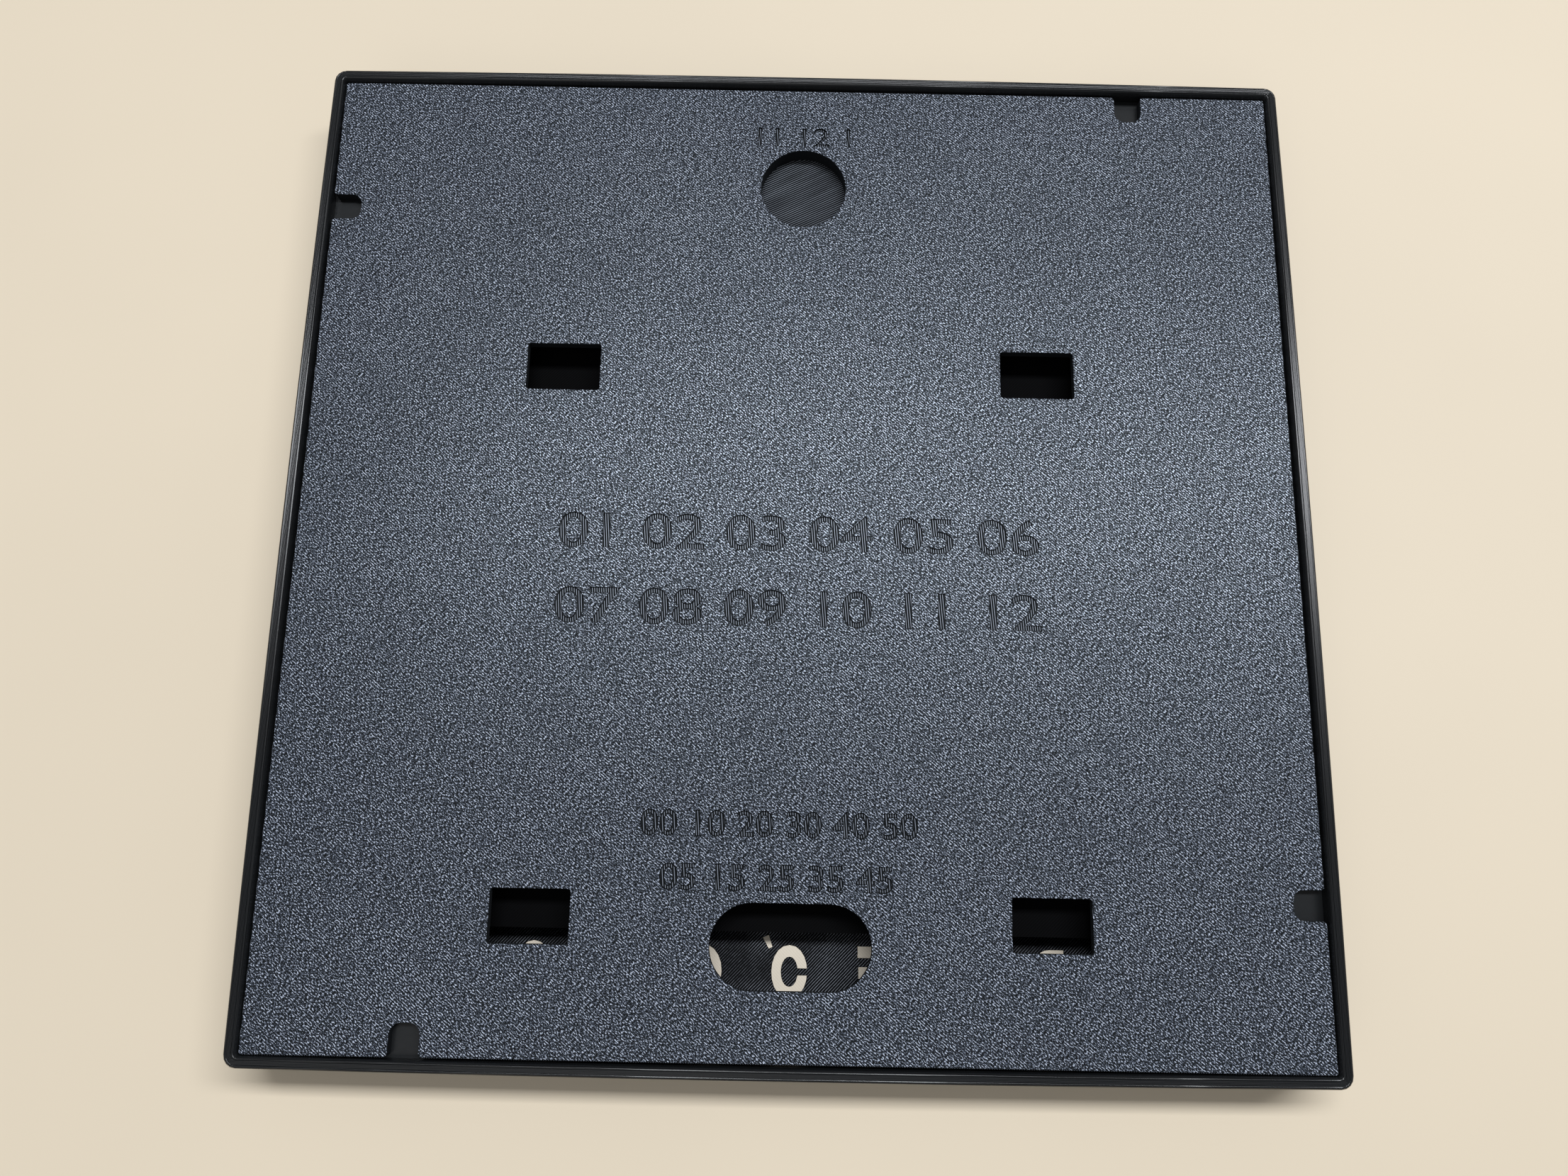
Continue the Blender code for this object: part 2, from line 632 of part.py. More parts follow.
def make_controller_board():
    """Round-cornered board with a row of pin holes down each side."""
    shape = bmesh.new()
    outline = rounded_rectangle(BOARD_WIDTH, BOARD_LENGTH, BOARD_CORNER_RADIUS, (0, BOARD_MIDDLE_Y))
    add_prism(shape, outline, BOARD_Z, BOARD_TOP_Z)
    board = add_object("controller_board", shape, "circuit_board")
    holes = bmesh.new()
    row_x = BOARD_WIDTH / 2 - PIN_ROW_INSET
    first_y = BOARD_MIDDLE_Y - (PINS_A_SIDE - 1) * PIN_PITCH / 2
    for x in (-row_x, row_x):
        for pin in range(PINS_A_SIDE):
            centre = (x, first_y + pin * PIN_PITCH)
            add_cylinder(holes, centre, PIN_HOLE_DIAMETER / 2, BOARD_Z - CUT_OVERRUN,
                         BOARD_TOP_Z + CUT_OVERRUN, SMALL_ROUND_SIDES)
    combine(board, add_tool("pin_holes", holes), "DIFFERENCE")


def make_wifi_module():
    """Radio board with a bare aerial end and a drawn metal can over the rest."""
    shape = bmesh.new()
    right = MODULE_WIDTH / 2
    xs = [-right, MODULE_CAN_BORDER - right, right - MODULE_CAN_BORDER, right]
    ys = [MODULE_LOW_Y, MODULE_LOW_Y + MODULE_CAN_BORDER, MODULE_HIGH_Y - MODULE_AERIAL_LENGTH, MODULE_HIGH_Y]
    faces = add_plate_grid(shape, xs, ys, PARTS_Z + MODULE_BASE, lambda i, j: True)
    can = faces[1, 1]
    raise_faces(shape, list(faces.values()), (0, 0, -MODULE_BASE))
    raised = bmesh.ops.extrude_discrete_faces(shape, faces=[can])
    bmesh.ops.translate(shape, verts=raised["faces"][0].verts, vec=(0, 0, MODULE_CAN_HEIGHT))
    add_object("wifi_module", shape, "shield_can")


def make_usb_socket():
    """Folded metal shell, open towards the cable opening, with its contact tongue inside."""
    shape = bmesh.new()
    low_y = BOARD_LOW_Y - SOCKET_OVERHANG
    half = SOCKET_WIDTH / 2
    add_box(shape, (-half, low_y, PARTS_Z), (half, low_y + SOCKET_LENGTH, PARTS_Z + SOCKET_HEIGHT))
    upright = [edge for edge in shape.edges
               if abs(edge.verts[0].co.y - edge.verts[1].co.y) > SOCKET_LENGTH / 2]
    bmesh.ops.bevel(shape, geom=upright, offset=SOCKET_SHELL * 2, segments=2, affect="EDGES", profile=0.5)
    bmesh.ops.recalc_face_normals(shape, faces=shape.faces)
    mouth = min(shape.faces, key=lambda face: face.calc_center_median().y)
    bmesh.ops.inset_region(shape, faces=[mouth], thickness=SOCKET_SHELL, use_even_offset=True)
    back = bmesh.ops.extrude_discrete_faces(shape, faces=[mouth])["faces"][0]
    bmesh.ops.translate(shape, verts=back.verts, vec=(0, SOCKET_MOUTH_DEPTH, 0))
    bmesh.ops.inset_region(shape, faces=[back], thickness=SOCKET_TONGUE_GAP, use_even_offset=True)
    tongue = bmesh.ops.extrude_discrete_faces(shape, faces=[back])["faces"][0]
    bmesh.ops.translate(shape, verts=tongue.verts, vec=(0, -SOCKET_TONGUE_LENGTH, 0))
    smooth(add_object("usb_socket", shape, "shield_can"))


def switch_place():
    x = BOARD_WIDTH / 2 - BOARD_CORNER_RADIUS - SWITCH_WIDTH / 2
    y = BOARD_LOW_Y + BOARD_CORNER_RADIUS + SWITCH_LENGTH / 2
    return x, y


def make_reset_switch():
    x, y = switch_place()
    half_width, half_length = SWITCH_WIDTH / 2, SWITCH_LENGTH / 2
    top = PARTS_Z + SWITCH_HEIGHT
    shape = bmesh.new()
    add_box(shape, (x - half_width, y - half_length, PARTS_Z), (x + half_width, y + half_length, top))
    body = add_object("reset_switch", shape, "switch_body")
    bore = bmesh.new()
    radius = BUTTON_DIAMETER / 2 + SEAT_GAP
    add_cylinder(bore, (x, y), radius, top - SWITCH_BORE_DEPTH, top + CUT_OVERRUN, SMALL_ROUND_SIDES)
    combine(body, add_tool("switch_bore", bore), "DIFFERENCE")


def make_reset_button():
    """Plunger of the reset switch. It is drawn round its own axis, at the switch's top."""
    x, y = switch_place()
    radius = BUTTON_DIAMETER / 2
    profile = [(0, BUTTON_PROUD), (radius - BUTTON_EDGE_ROUND, BUTTON_PROUD),
               (radius, BUTTON_PROUD - BUTTON_EDGE_ROUND), (radius, SEAT_GAP - SWITCH_BORE_DEPTH),
               (0, SEAT_GAP - SWITCH_BORE_DEPTH)]
    shape = bmesh.new()
    turned_profile(shape, profile, SMALL_ROUND_SIDES)
    smooth(add_object("reset_button", shape, "button_cap", (x, y, PARTS_Z + SWITCH_HEIGHT)))


def notch_outline():
    """Half of a finger notch, mirrored: flared at its mouth and round at its inner corners."""
    half = NOTCH_WIDTH / 2
    mouth = COVER_HALF
    inner = mouth - NOTCH_DEPTH
    flare = arc((mouth - NOTCH_MOUTH_RADIUS, half + NOTCH_MOUTH_RADIUS), NOTCH_MOUTH_RADIUS,
                0, -math.pi / 2, CORNER_STEPS)
    bend = arc((inner + NOTCH_CORNER_RADIUS, half - NOTCH_CORNER_RADIUS), NOTCH_CORNER_RADIUS,
               math.pi / 2, math.pi / 2, CORNER_STEPS)
    upper = [(mouth + CUT_OVERRUN, half + NOTCH_MOUTH_RADIUS), *flare, *bend]
    return upper + [(x, -y) for x, y in reversed(upper)]


def add_notches(shape):
    for turn in quarter_turns():
        outline = [turn @ Vector((x, y - NOTCH_OFFSET, 0)) for x, y in notch_outline()]
        flat = [(point.x, point.y) for point in outline]
        add_prism(shape, flat, -CUT_OVERRUN, COVER_THICKNESS + CUT_OVERRUN)


def make_rear_cover():
    """Printed cover that drops into the case, drawn round the middle of its inner face."""
    shape = bmesh.new()
    add_loft(shape, (
        bowed_square(COVER_HALF, COVER_CORNER_RADIUS, 0, 0),
        bowed_square(COVER_HALF, COVER_CORNER_RADIUS, COVER_THICKNESS - COVER_CHAMFER, 0),
        bowed_square(COVER_HALF - COVER_CHAMFER, COVER_CORNER_RADIUS - COVER_CHAMFER, COVER_THICKNESS, 0),
    ), closed=False)
    place = (0, 0, COVER_Z)
    cover = add_object("rear_cover", shape, "rear_print", place)

    cup = bmesh.new()
    pocket_floor = COVER_THICKNESS - HANGER_DEPTH
    radius = HANGER_DIAMETER / 2
    add_cylinder(cup, (0, HANGER_Y), radius + HANGER_WALL, pocket_floor - HANGER_FLOOR,
                 COVER_THICKNESS / 2, ROUND_SIDES * 2)
    combine(cover, add_tool("hanger_cup", cup, place), "UNION")

    openings = bmesh.new()
    low, high = -CUT_OVERRUN, COVER_THICKNESS + CUT_OVERRUN
    add_cylinder(openings, (0, HANGER_Y), radius, pocket_floor, high, ROUND_SIDES * 2)
    cable = rounded_rectangle(CABLE_OPENING_LENGTH, CABLE_OPENING_WIDTH, CABLE_OPENING_WIDTH / 2,
                              (0, CABLE_OPENING_Y))
    add_prism(openings, cable, low, high)
    for side in (-1, 1):
        for y in (CASE_HALF - UPPER_WINDOW_INSET, LOWER_WINDOW_INSET - CASE_HALF):
            window = rounded_rectangle(WINDOW_WIDTH, WINDOW_HEIGHT, WINDOW_CORNER_RADIUS,
                                       (side * WINDOW_SPACING / 2, y))
            add_prism(openings, window, low, high)
    add_notches(openings)
    bmesh.ops.remove_doubles(openings, verts=openings.verts, dist=SEAT_GAP / 30)
    combine(cover, add_tool("cover_openings", openings, place), "DIFFERENCE")
    smooth(cover)


def main():
    clear_scene()
    make_case_frame()
    make_front_panel()
    make_light_baffle()
    make_led_tapes()
    make_led_carrier()
    make_carrier_screws()
    make_row_links()
    make_bottom_link()
    make_feed_ribbon()
    make_controller_board()
    make_wifi_module()
    make_usb_socket()
    make_reset_switch()
    make_reset_button()
    make_rear_cover()


main()
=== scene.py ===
# Looks of a printed word clock that lies on its face, rear cover up. Lengths are in metres.
import math

import bmesh
import bpy
from mathutils import Matrix, Vector


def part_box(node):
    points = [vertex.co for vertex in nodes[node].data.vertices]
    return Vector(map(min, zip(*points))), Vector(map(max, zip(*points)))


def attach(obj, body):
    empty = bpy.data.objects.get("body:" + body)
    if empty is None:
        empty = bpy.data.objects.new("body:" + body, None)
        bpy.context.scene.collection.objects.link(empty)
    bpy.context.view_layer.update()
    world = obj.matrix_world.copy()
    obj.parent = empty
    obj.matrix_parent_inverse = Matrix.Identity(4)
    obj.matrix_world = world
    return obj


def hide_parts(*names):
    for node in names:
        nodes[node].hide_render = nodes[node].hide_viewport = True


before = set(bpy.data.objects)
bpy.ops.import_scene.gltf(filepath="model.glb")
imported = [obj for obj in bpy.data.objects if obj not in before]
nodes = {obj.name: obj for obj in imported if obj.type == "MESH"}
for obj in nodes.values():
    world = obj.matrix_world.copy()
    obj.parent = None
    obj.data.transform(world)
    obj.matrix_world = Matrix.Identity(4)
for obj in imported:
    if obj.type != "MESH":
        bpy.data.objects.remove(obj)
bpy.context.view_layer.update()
print("frame loaded with", len(nodes), "nodes")

coverLow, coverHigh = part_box("rear_cover")
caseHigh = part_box("case_frame")[1]
faceLow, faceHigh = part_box("front_panel")
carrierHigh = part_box("led_carrier")[1]
boardLow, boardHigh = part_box("controller_board")
moduleLow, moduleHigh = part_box("wifi_module")
rowNames = [f"led_tape_row_{number:02d}" for number in range(1, 11)]
rowCentres = [sum(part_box(name), Vector()) / 2 for name in rowNames]
ledPitch = rowCentres[0].y - rowCentres[1].y
lineWidth = 0.00045  # one printed line
weld = 0.000002
nearby = 0.00002  # from a level where a cut left its faces
sharpAngle = 1  # radians between two faces that meet at a sharp edge
facingShare = 0.9  # of a normal, when its face looks along an axis
waveScale = math.pi / 10  # of a wave texture, for one line to the metre


# Handling of pieces

def takeUp(piece):
    bpy.ops.object.select_all(action="DESELECT")
    piece.select_set(True)
    bpy.context.view_layer.objects.active = piece


def startEditing(piece):
    takeUp(piece)
    bpy.ops.object.mode_set(mode="EDIT")


def stopEditing():
    bpy.ops.object.mode_set(mode="OBJECT")


def chooseFaces(piece, wanted):
    bpy.ops.mesh.select_mode(type="FACE")
    bpy.ops.mesh.select_all(action="DESELECT")
    shape = bmesh.from_edit_mesh(piece.data)
    for face in shape.faces:
        face.select_set(bool(wanted(face.calc_center_median(), face.normal)))
    bmesh.update_edit_mesh(piece.data)


def chooseEdges(piece, wanted):
    bpy.ops.mesh.select_mode(type="EDGE")
    bpy.ops.mesh.select_all(action="DESELECT")
    shape = bmesh.from_edit_mesh(piece.data)
    for edge in shape.edges:
        edge.select_set(bool(wanted(edge, edge.verts[0].co, edge.verts[1].co)))
    bmesh.update_edit_mesh(piece.data)


def gridCuts(piece, spacing, reach):  # splits wide flat faces, so that what is carved there cuts small ones
    startEditing(piece)
    count = round(reach / spacing)
    for axis in (0, 1):
        for step in range(-count, count + 1):
            place, normal = [0, 0, 0], [0, 0, 0]
            place[axis], normal[axis] = (step + 0.5) * spacing, 1
            bpy.ops.mesh.select_all(action="SELECT")
            bpy.ops.mesh.bisect(plane_co=place, plane_no=normal)
    stopEditing()


def bevelEdges(piece, width, wanted, segments=2):
    startEditing(piece)
    chooseEdges(piece, wanted)
    bpy.ops.mesh.bevel(offset=width, segments=segments, affect="EDGES")
    stopEditing()


def insetFaces(width, lift=0.0, even=True):
    bpy.ops.mesh.inset(thickness=width, depth=lift, use_even_offset=even)


def cleanUp(outwards=True):  # in edit mode
    bpy.ops.mesh.select_all(action="SELECT")
    bpy.ops.mesh.remove_doubles(threshold=weld)
    if outwards:
        bpy.ops.mesh.normals_make_consistent(inside=False)


def copyNode(nodeName, pieceName):  # a new piece in the node's shape, without lines across its flat faces
    piece = bpy.data.objects.new(pieceName, nodes[nodeName].data.copy())
    bpy.context.scene.collection.objects.link(piece)
    piece.data.materials.clear()
    startEditing(piece)
    bpy.ops.mesh.customdata_custom_splitnormals_clear()
    cleanUp(outwards=False)
    bpy.ops.mesh.dissolve_limited(angle_limit=math.radians(0.02))
    stopEditing()
    return piece


def copyTo(piece, name, place):
    twin = bpy.data.objects.new(name, piece.data.copy())
    twin.data.transform(Matrix.Translation(place))
    bpy.context.scene.collection.objects.link(twin)
    return twin


def settle(piece):  # puts its place, turn and scale into its mesh
    takeUp(piece)
    bpy.ops.object.transform_apply(location=True, rotation=True, scale=True)


def join(name, pieces):
    takeUp(pieces[0])
    for piece in pieces[1:]:
        piece.select_set(True)
    bpy.ops.object.join()
    pieces[0].name = pieces[0].data.name = name
    return pieces[0]


def carve(piece, tool, operation="DIFFERENCE"):
    takeUp(piece)
    step = piece.modifiers.new("carve", "BOOLEAN")
    step.operation = operation
    step.object = tool
    step.solver = "EXACT"
    bpy.ops.object.modifier_apply(modifier=step.name)
    bpy.data.objects.remove(tool)


def roundShading(piece, degrees=25):
    takeUp(piece)
    bpy.ops.object.shade_smooth_by_angle(angle=math.radians(degrees))


def cylinder(name, sides, radius, depth, centreZ):
    bpy.ops.object.select_all(action="DESELECT")
    bpy.ops.mesh.primitive_cylinder_add(vertices=sides, radius=radius, depth=depth, location=(0, 0, centreZ))
    made = bpy.context.object
    made.name = made.data.name = name
    settle(made)
    return made


def tube(name, places, radius, resolution):
    data = bpy.data.curves.new(name, "CURVE")
    data.dimensions = "3D"
    spline = data.splines.new("POLY")
    spline.points.add(len(places) - 1)
    for point, place in zip(spline.points, places):
        point.co = (*place, 1)
    data.bevel_depth = radius
    data.bevel_resolution = resolution
    data.use_fill_caps = True
    made = bpy.data.objects.new(name, data)
    bpy.context.scene.collection.objects.link(made)
    takeUp(made)
    bpy.ops.object.convert(target="MESH")
    made = bpy.context.object
    startEditing(made)
    cleanUp()
    stopEditing()
    return made


def block(name, low, high, edge=0.0, segments=2):
    low, high = Vector(low), Vector(high)
    bpy.ops.object.select_all(action="DESELECT")
    bpy.ops.mesh.primitive_cube_add(size=1, location=(low + high) / 2)
    made = bpy.context.object
    made.name = made.data.name = name
    made.scale = high - low
    settle(made)
    if edge:
        startEditing(made)
        bpy.ops.mesh.select_all(action="SELECT")
        bpy.ops.mesh.bevel(offset=edge, segments=segments, affect="EDGES")
        stopEditing()
    return made


def slab(name, x, y, size, low, high, edge=0.0):  # a block around this place, between two levels
    wide, long = size
    return block(name, (x - wide / 2, y - long / 2, low), (x + wide / 2, y + long / 2, high), edge, 1)


def paint(piece, *finishes):
    for finish in finishes:
        piece.data.materials.append(finish)


def assign(piece, index, wanted):  # gives the wanted faces another of the piece's finishes
    startEditing(piece)
    chooseFaces(piece, wanted)
    piece.active_material_index = index
    bpy.ops.object.material_slot_assign()
    stopEditing()


def handOver(piece, body, slotName, *stoodFor):
    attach(piece, body)
    if stoodFor:
        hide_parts(*stoodFor)


textLook = {
    "roundness": 5,
    "growSteps": 6,
    "finest": 70,  # points closer than the height over this become one
}


def solidText(text, size, boldness, thickness):  # letters or numbers of this outer size, middled
    bpy.ops.object.select_all(action="DESELECT")
    bpy.ops.object.text_add()
    made = bpy.context.object
    made.data.body = text
    made.data.resolution_u = textLook["roundness"]
    bpy.ops.object.convert(target="CURVE")
    made = bpy.context.object
    made.data.dimensions = "2D"
    made.data.fill_mode = "NONE"
    made.data.extrude = thickness / 2
    bpy.ops.object.convert(target="MESH")
    made = bpy.context.object
    made.scale = [(wanted - 2 * boldness) / now for wanted, now in zip(size, made.dimensions)] + [1]
    settle(made)
    startEditing(made)
    for step in range(textLook["growSteps"]):  # the side walls move out a little at a time
        bpy.ops.mesh.select_all(action="SELECT")
        bpy.ops.mesh.remove_doubles(threshold=size[1] / textLook["finest"])
        bpy.ops.transform.shrink_fatten(value=boldness / textLook["growSteps"], use_even_offset=True)
    for side in (-1, 1):
        chooseEdges(made, lambda edge, a, b: min(a.z * side, b.z * side) > 0 and len(edge.link_faces) == 1)
        bpy.ops.mesh.fill()
    bpy.ops.mesh.select_all(action="SELECT")
    bpy.ops.mesh.normals_make_consistent(inside=False)
    stopEditing()
    spots = [vertex.co.copy() for vertex in made.data.vertices]
    middle = [(min(spot[axis] for spot in spots) + max(spot[axis] for spot in spots)) / 2 for axis in (0, 1)]
    for vertex, spot in zip(made.data.vertices, spots):
        vertex.co = (spot.x - middle[0], spot.y - middle[1], math.copysign(thickness / 2, spot.z))
    return made


# Building blocks of the finishes

def put(tree, kind, *wires, **options):
    made = tree.nodes.new("ShaderNode" + kind)
    for option, value in options.items():
        setattr(made, option, value)
    for socket, source in wires:
        if isinstance(source, bpy.types.NodeSocket):
            tree.links.new(source, made.inputs[socket])
        else:
            made.inputs[socket].default_value = source
    return made


def newFinish(name, **sockets):
    made = bpy.data.materials.new(name)
    made.use_nodes = True
    shader = made.node_tree.nodes["Principled BSDF"]
    for socket, value in sockets.items():
        shader.inputs[socket.replace("_", " ")].default_value = value
    return made, made.node_tree, shader


def spread(tree, degrees=0, stretch=(1, 1, 1)):  # Object coordinates, turned, then stretched
    place = put(tree, "TexCoord").outputs["Object"]
    mapped = put(tree, "Mapping", ("Vector", place), ("Rotation", (0, 0, math.radians(degrees))),
                 ("Scale", stretch), vector_type="TEXTURE")
    return mapped.outputs["Vector"]


def height(tree):
    place = put(tree, "TexCoord").outputs["Object"]
    return put(tree, "SeparateXYZ", ("Vector", place)).outputs["Z"]


def facing(tree):  # 1 on level faces, 0 on upright ones
    normal = put(tree, "NewGeometry").outputs["Normal"]
    return put(tree, "SeparateXYZ", ("Vector", normal)).outputs["Z"]


def sums(tree, operation, first, second=0.0):
    return put(tree, "Math", (0, first), (1, second), operation=operation).outputs[0]


def noise(tree, size, detail=2.0, degrees=0, stretch=(1, 1, 1)):
    made = put(tree, "TexNoise", ("Vector", spread(tree, degrees, stretch)), ("Scale", 1 / size),
               ("Detail", detail))
    return made.outputs["Fac"]


def lines(tree, degrees, pitch, wobble=0.6, direction="Y"):  # printed lines that run at this angle
    made = put(tree, "TexWave", ("Vector", spread(tree, degrees)), ("Scale", waveScale / pitch),
               ("Distortion", wobble), ("Detail", 1.0), ("Detail Scale", 0.4), bands_direction=direction)
    return made.outputs["Fac"]


def ramp(tree, share, *stops):
    made = put(tree, "ValToRGB", ("Fac", share))
    elements = made.color_ramp.elements
    while len(elements) < len(stops):
        elements.new(0.5)
    for element, (place, colour) in zip(elements, stops):
        element.position = place
        element.color = (*colour, 1.0) if len(colour) == 3 else colour
    return made.outputs["Color"]


def remap(tree, value, fromLow, fromHigh, toLow, toHigh):
    made = put(tree, "MapRange", ("Value", value), ("From Min", fromLow), ("From Max", fromHigh),
               ("To Min", toLow), ("To Max", toHigh))
    return made.outputs["Result"]


def blendValues(tree, share, first, second):
    return put(tree, "Mix", (0, share), (2, first), (3, second), data_type="FLOAT").outputs[0]


def blendColours(tree, share, first, second):
    return put(tree, "Mix", (0, share), (6, first), (7, second), data_type="RGBA").outputs[2]


def relief(tree, value, depth, strength=1.0):
    made = put(tree, "Bump", ("Height", value), ("Distance", depth), ("Strength", strength))
    return made.outputs["Normal"]


def wire(tree, source, shader, socket):
    tree.links.new(source, shader.inputs[socket])


speckleLook = {
    "darker": 0.72,
    "stops": (0.3, 0.65),
    "detail": 3.0,
    "strength": 0.5,
}


def speckled(name, colour, roughness, metallic=0.0, grain=0.0004, depth=0.00001):  # plain, finely varied
    made, tree, shader = newFinish(name, Roughness=roughness, Metallic=metallic)
    cloud = noise(tree, grain, speckleLook["detail"])
    darker = tuple(channel * speckleLook["darker"] for channel in colour)
    low, high = speckleLook["stops"]
    wire(tree, ramp(tree, cloud, (low, darker), (high, colour)), shader, "Base Color")
    wire(tree, relief(tree, cloud, depth, speckleLook["strength"]), shader, "Normal")
    return made


# Rear cover, printed on a grained bed

coverLook = {
    "grain": 0.0002,
    "grainDetail": 1.5,
    "drawn": 2.2,  # how much longer than wide the grains are
    "grainDepth": 0.00003,
    "speck": 0.00032,  # size and strength of the coarser grains among them
    "speckShare": 0.24,
    "patch": 0.03,
    "patchRange": (0.42, 0.62),
    "lineShare": (0.08, 0.14),  # how strongly the printed lines show, from patch to patch
    "lineWobble": 1.2,
    "skinAngle": -40,
    "skin": [(0.42, (0.0003, 0.0004, 0.0006)), (0.50, (0.006, 0.0075, 0.011)), (0.575, (0.06, 0.072, 0.10)),
             (0.685, (0.50, 0.55, 0.65))],  # colours from painted shade in the pits up to painted glints on the crests
    "shine": (0.9, 0.2),  # roughness of the pits and of the crests
    "shineRange": (0.42, 0.58),
    "gloss": 0.35,
    # painted shade in the gaps between the printed lines
    "lineGapShade": (0.0002, 0.0002, 0.0003),
    # painted highlight on the crests of the engraved strands
    "lineHighlight": (0.20, 0.22, 0.26),
    # painted highlight on the lines of the hanger pocket's floor
    "pocketLineHighlight": (0.22, 0.24, 0.28),
    # painted shade on upright faces and on the strands' edges
    "side": (0.0025, 0.003, 0.004),
    "lineDepth": 0.00006,
    "lineRange": (0.7, 0.98),  # part of each line's swell over which it turns to its painted highlight
    "zoneDepths": (0.25, 0.8, 4.5),  # shares of the engraving: strands, their edges (painted shade), pocket floor
    "sideLayer": 0.0002,
    "sideRange": (0.2, 0.9),
    "tint": (0.82, 0.91, 1.0, 1.0),
    "edge": 0.00016,
    "grid": 0.0142,
    "engraved": 0.0004,
    "strandRim": [(0.0002, 0.0), (0.00003, 0.00018)],  # width and rise of the steps up to the strands
    "strokeAngle": 95,
    "strokeWobble": 0.3,
    "pocketAngle": 27,
    "pocketWobble": 0.5,
    "pocketScuff": 0.0016,  # size, length and share of the scuffs over the lines in the pocket
    "scuffLength": 8,
    "scuffShare": 0.25,
    "smooth": 15,
    "opening": ((0.0, -0.0793), (0.03024, 0.01574)),  # middle and size
    "openingSides": 128,
    "marks": [  # plain numbers: text, middle of the line, outer size, added boldness
        ("11 12 1", (0.0, 0.0885), (0.0198, 0.0044), 0.00003),
        ("01 02 03 04 05 06", (0.0003, 0.0), (0.0958, 0.0074), 0.0001),
        ("07 08 09 10 11 12", (0.0003, -0.0153), (0.0958, 0.0074), 0.0001),
        ("00 10 20 30 40 50", (-0.0025, -0.057), (0.0525, 0.005), 0.00014),
        ("05 15 25 35 45", (-0.0029, -0.0669), (0.0438, 0.005), 0.00014),
    ],
}


def grainedPrintWithPaintedLight(look):
    made, tree, shader = newFinish("grainedPrintWithPaintedLight", Specular_IOR_Level=look["gloss"],
                                   Specular_Tint=look["tint"])
    # dark is the painted shade between the printed lines
    angle, pocketAngle, dark = look["skinAngle"], look["pocketAngle"], look["lineGapShade"]
    share = remap(tree, noise(tree, look["patch"], 2.0), *look["patchRange"], *look["lineShare"])
    grain = noise(tree, look["grain"], look["grainDetail"], angle, (look["drawn"], 1, 1))
    skinLines = sums(tree, "SUBTRACT", lines(tree, angle, lineWidth, look["lineWobble"]), 0.5)
    specks = sums(tree, "SUBTRACT", noise(tree, look["speck"], 1.0), 0.5)
    grain = sums(tree, "ADD", grain, sums(tree, "MULTIPLY", specks, look["speckShare"]))
    mixed = sums(tree, "ADD", grain, sums(tree, "MULTIPLY", skinLines, share))
    strokes = lines(tree, look["strokeAngle"], lineWidth, look["strokeWobble"])
    pocketLines = lines(tree, pocketAngle, lineWidth, look["pocketWobble"])
    scuffs = noise(tree, look["pocketScuff"], 2.0, pocketAngle, (look["scuffLength"], 1, 1))
    pocketLines = blendValues(tree, look["scuffShare"], pocketLines, scuffs)
    sideLayers = lines(tree, 0, look["sideLayer"], 0.5, "Z")
    rough, smooth = look["shine"]
    # the grain's colour carries painted shade in its pits and painted glints on its crests
    colour, normal = ramp(tree, mixed, *look["skin"]), relief(tree, mixed, look["grainDepth"])
    shine = remap(tree, mixed, *look["shineRange"], rough, smooth)
    start, end = look["lineRange"]
    # the strands and the pocket floor get painted highlights on their lines, the strands' edges painted shade
    patterns = ((strokes, look["lineHighlight"]), (strokes, look["side"]), (pocketLines, look["pocketLineHighlight"]))
    for depth, (pattern, bright) in zip(look["zoneDepths"], patterns):  # each lies lower than the one before
        below = sums(tree, "LESS_THAN", height(tree), coverHigh.z - look["engraved"] * depth)
        colour = blendColours(tree, below, colour, ramp(tree, pattern, (start, dark), (end, bright)))
        normal = blendColours(tree, below, normal, relief(tree, pattern, look["lineDepth"]))
        shine = blendValues(tree, below, shine, remap(tree, pattern, start, end, rough, smooth))
    # upright faces are painted darker than the top, as shade
    upright = sums(tree, "LESS_THAN", sums(tree, "ABSOLUTE", facing(tree)), 0.5)
    start, end = look["sideRange"]
    side = ramp(tree, sideLayers, (start, dark), (end, look["side"]))
    normal = blendColours(tree, upright, normal, relief(tree, sideLayers, look["lineDepth"] / 2))
    wire(tree, blendColours(tree, upright, colour, side), shader, "Base Color")
    wire(tree, normal, shader, "Normal")
    wire(tree, blendValues(tree, upright, shine, rough), shader, "Roughness")
    return made


def openingTool(middle, size, sides):  # rounder than the plain opening, and hardly larger
    tool = cylinder("openingTool", sides, size[1] / 2, coverHigh.z, coverHigh.z)
    half = (size[0] - size[1]) / 2
    for vertex in tool.data.vertices:
        vertex.co.x += math.copysign(half, vertex.co.x) if abs(vertex.co.x) > weld else 0
    tool.data.transform(Matrix.Translation((*middle, 0)))
    return tool


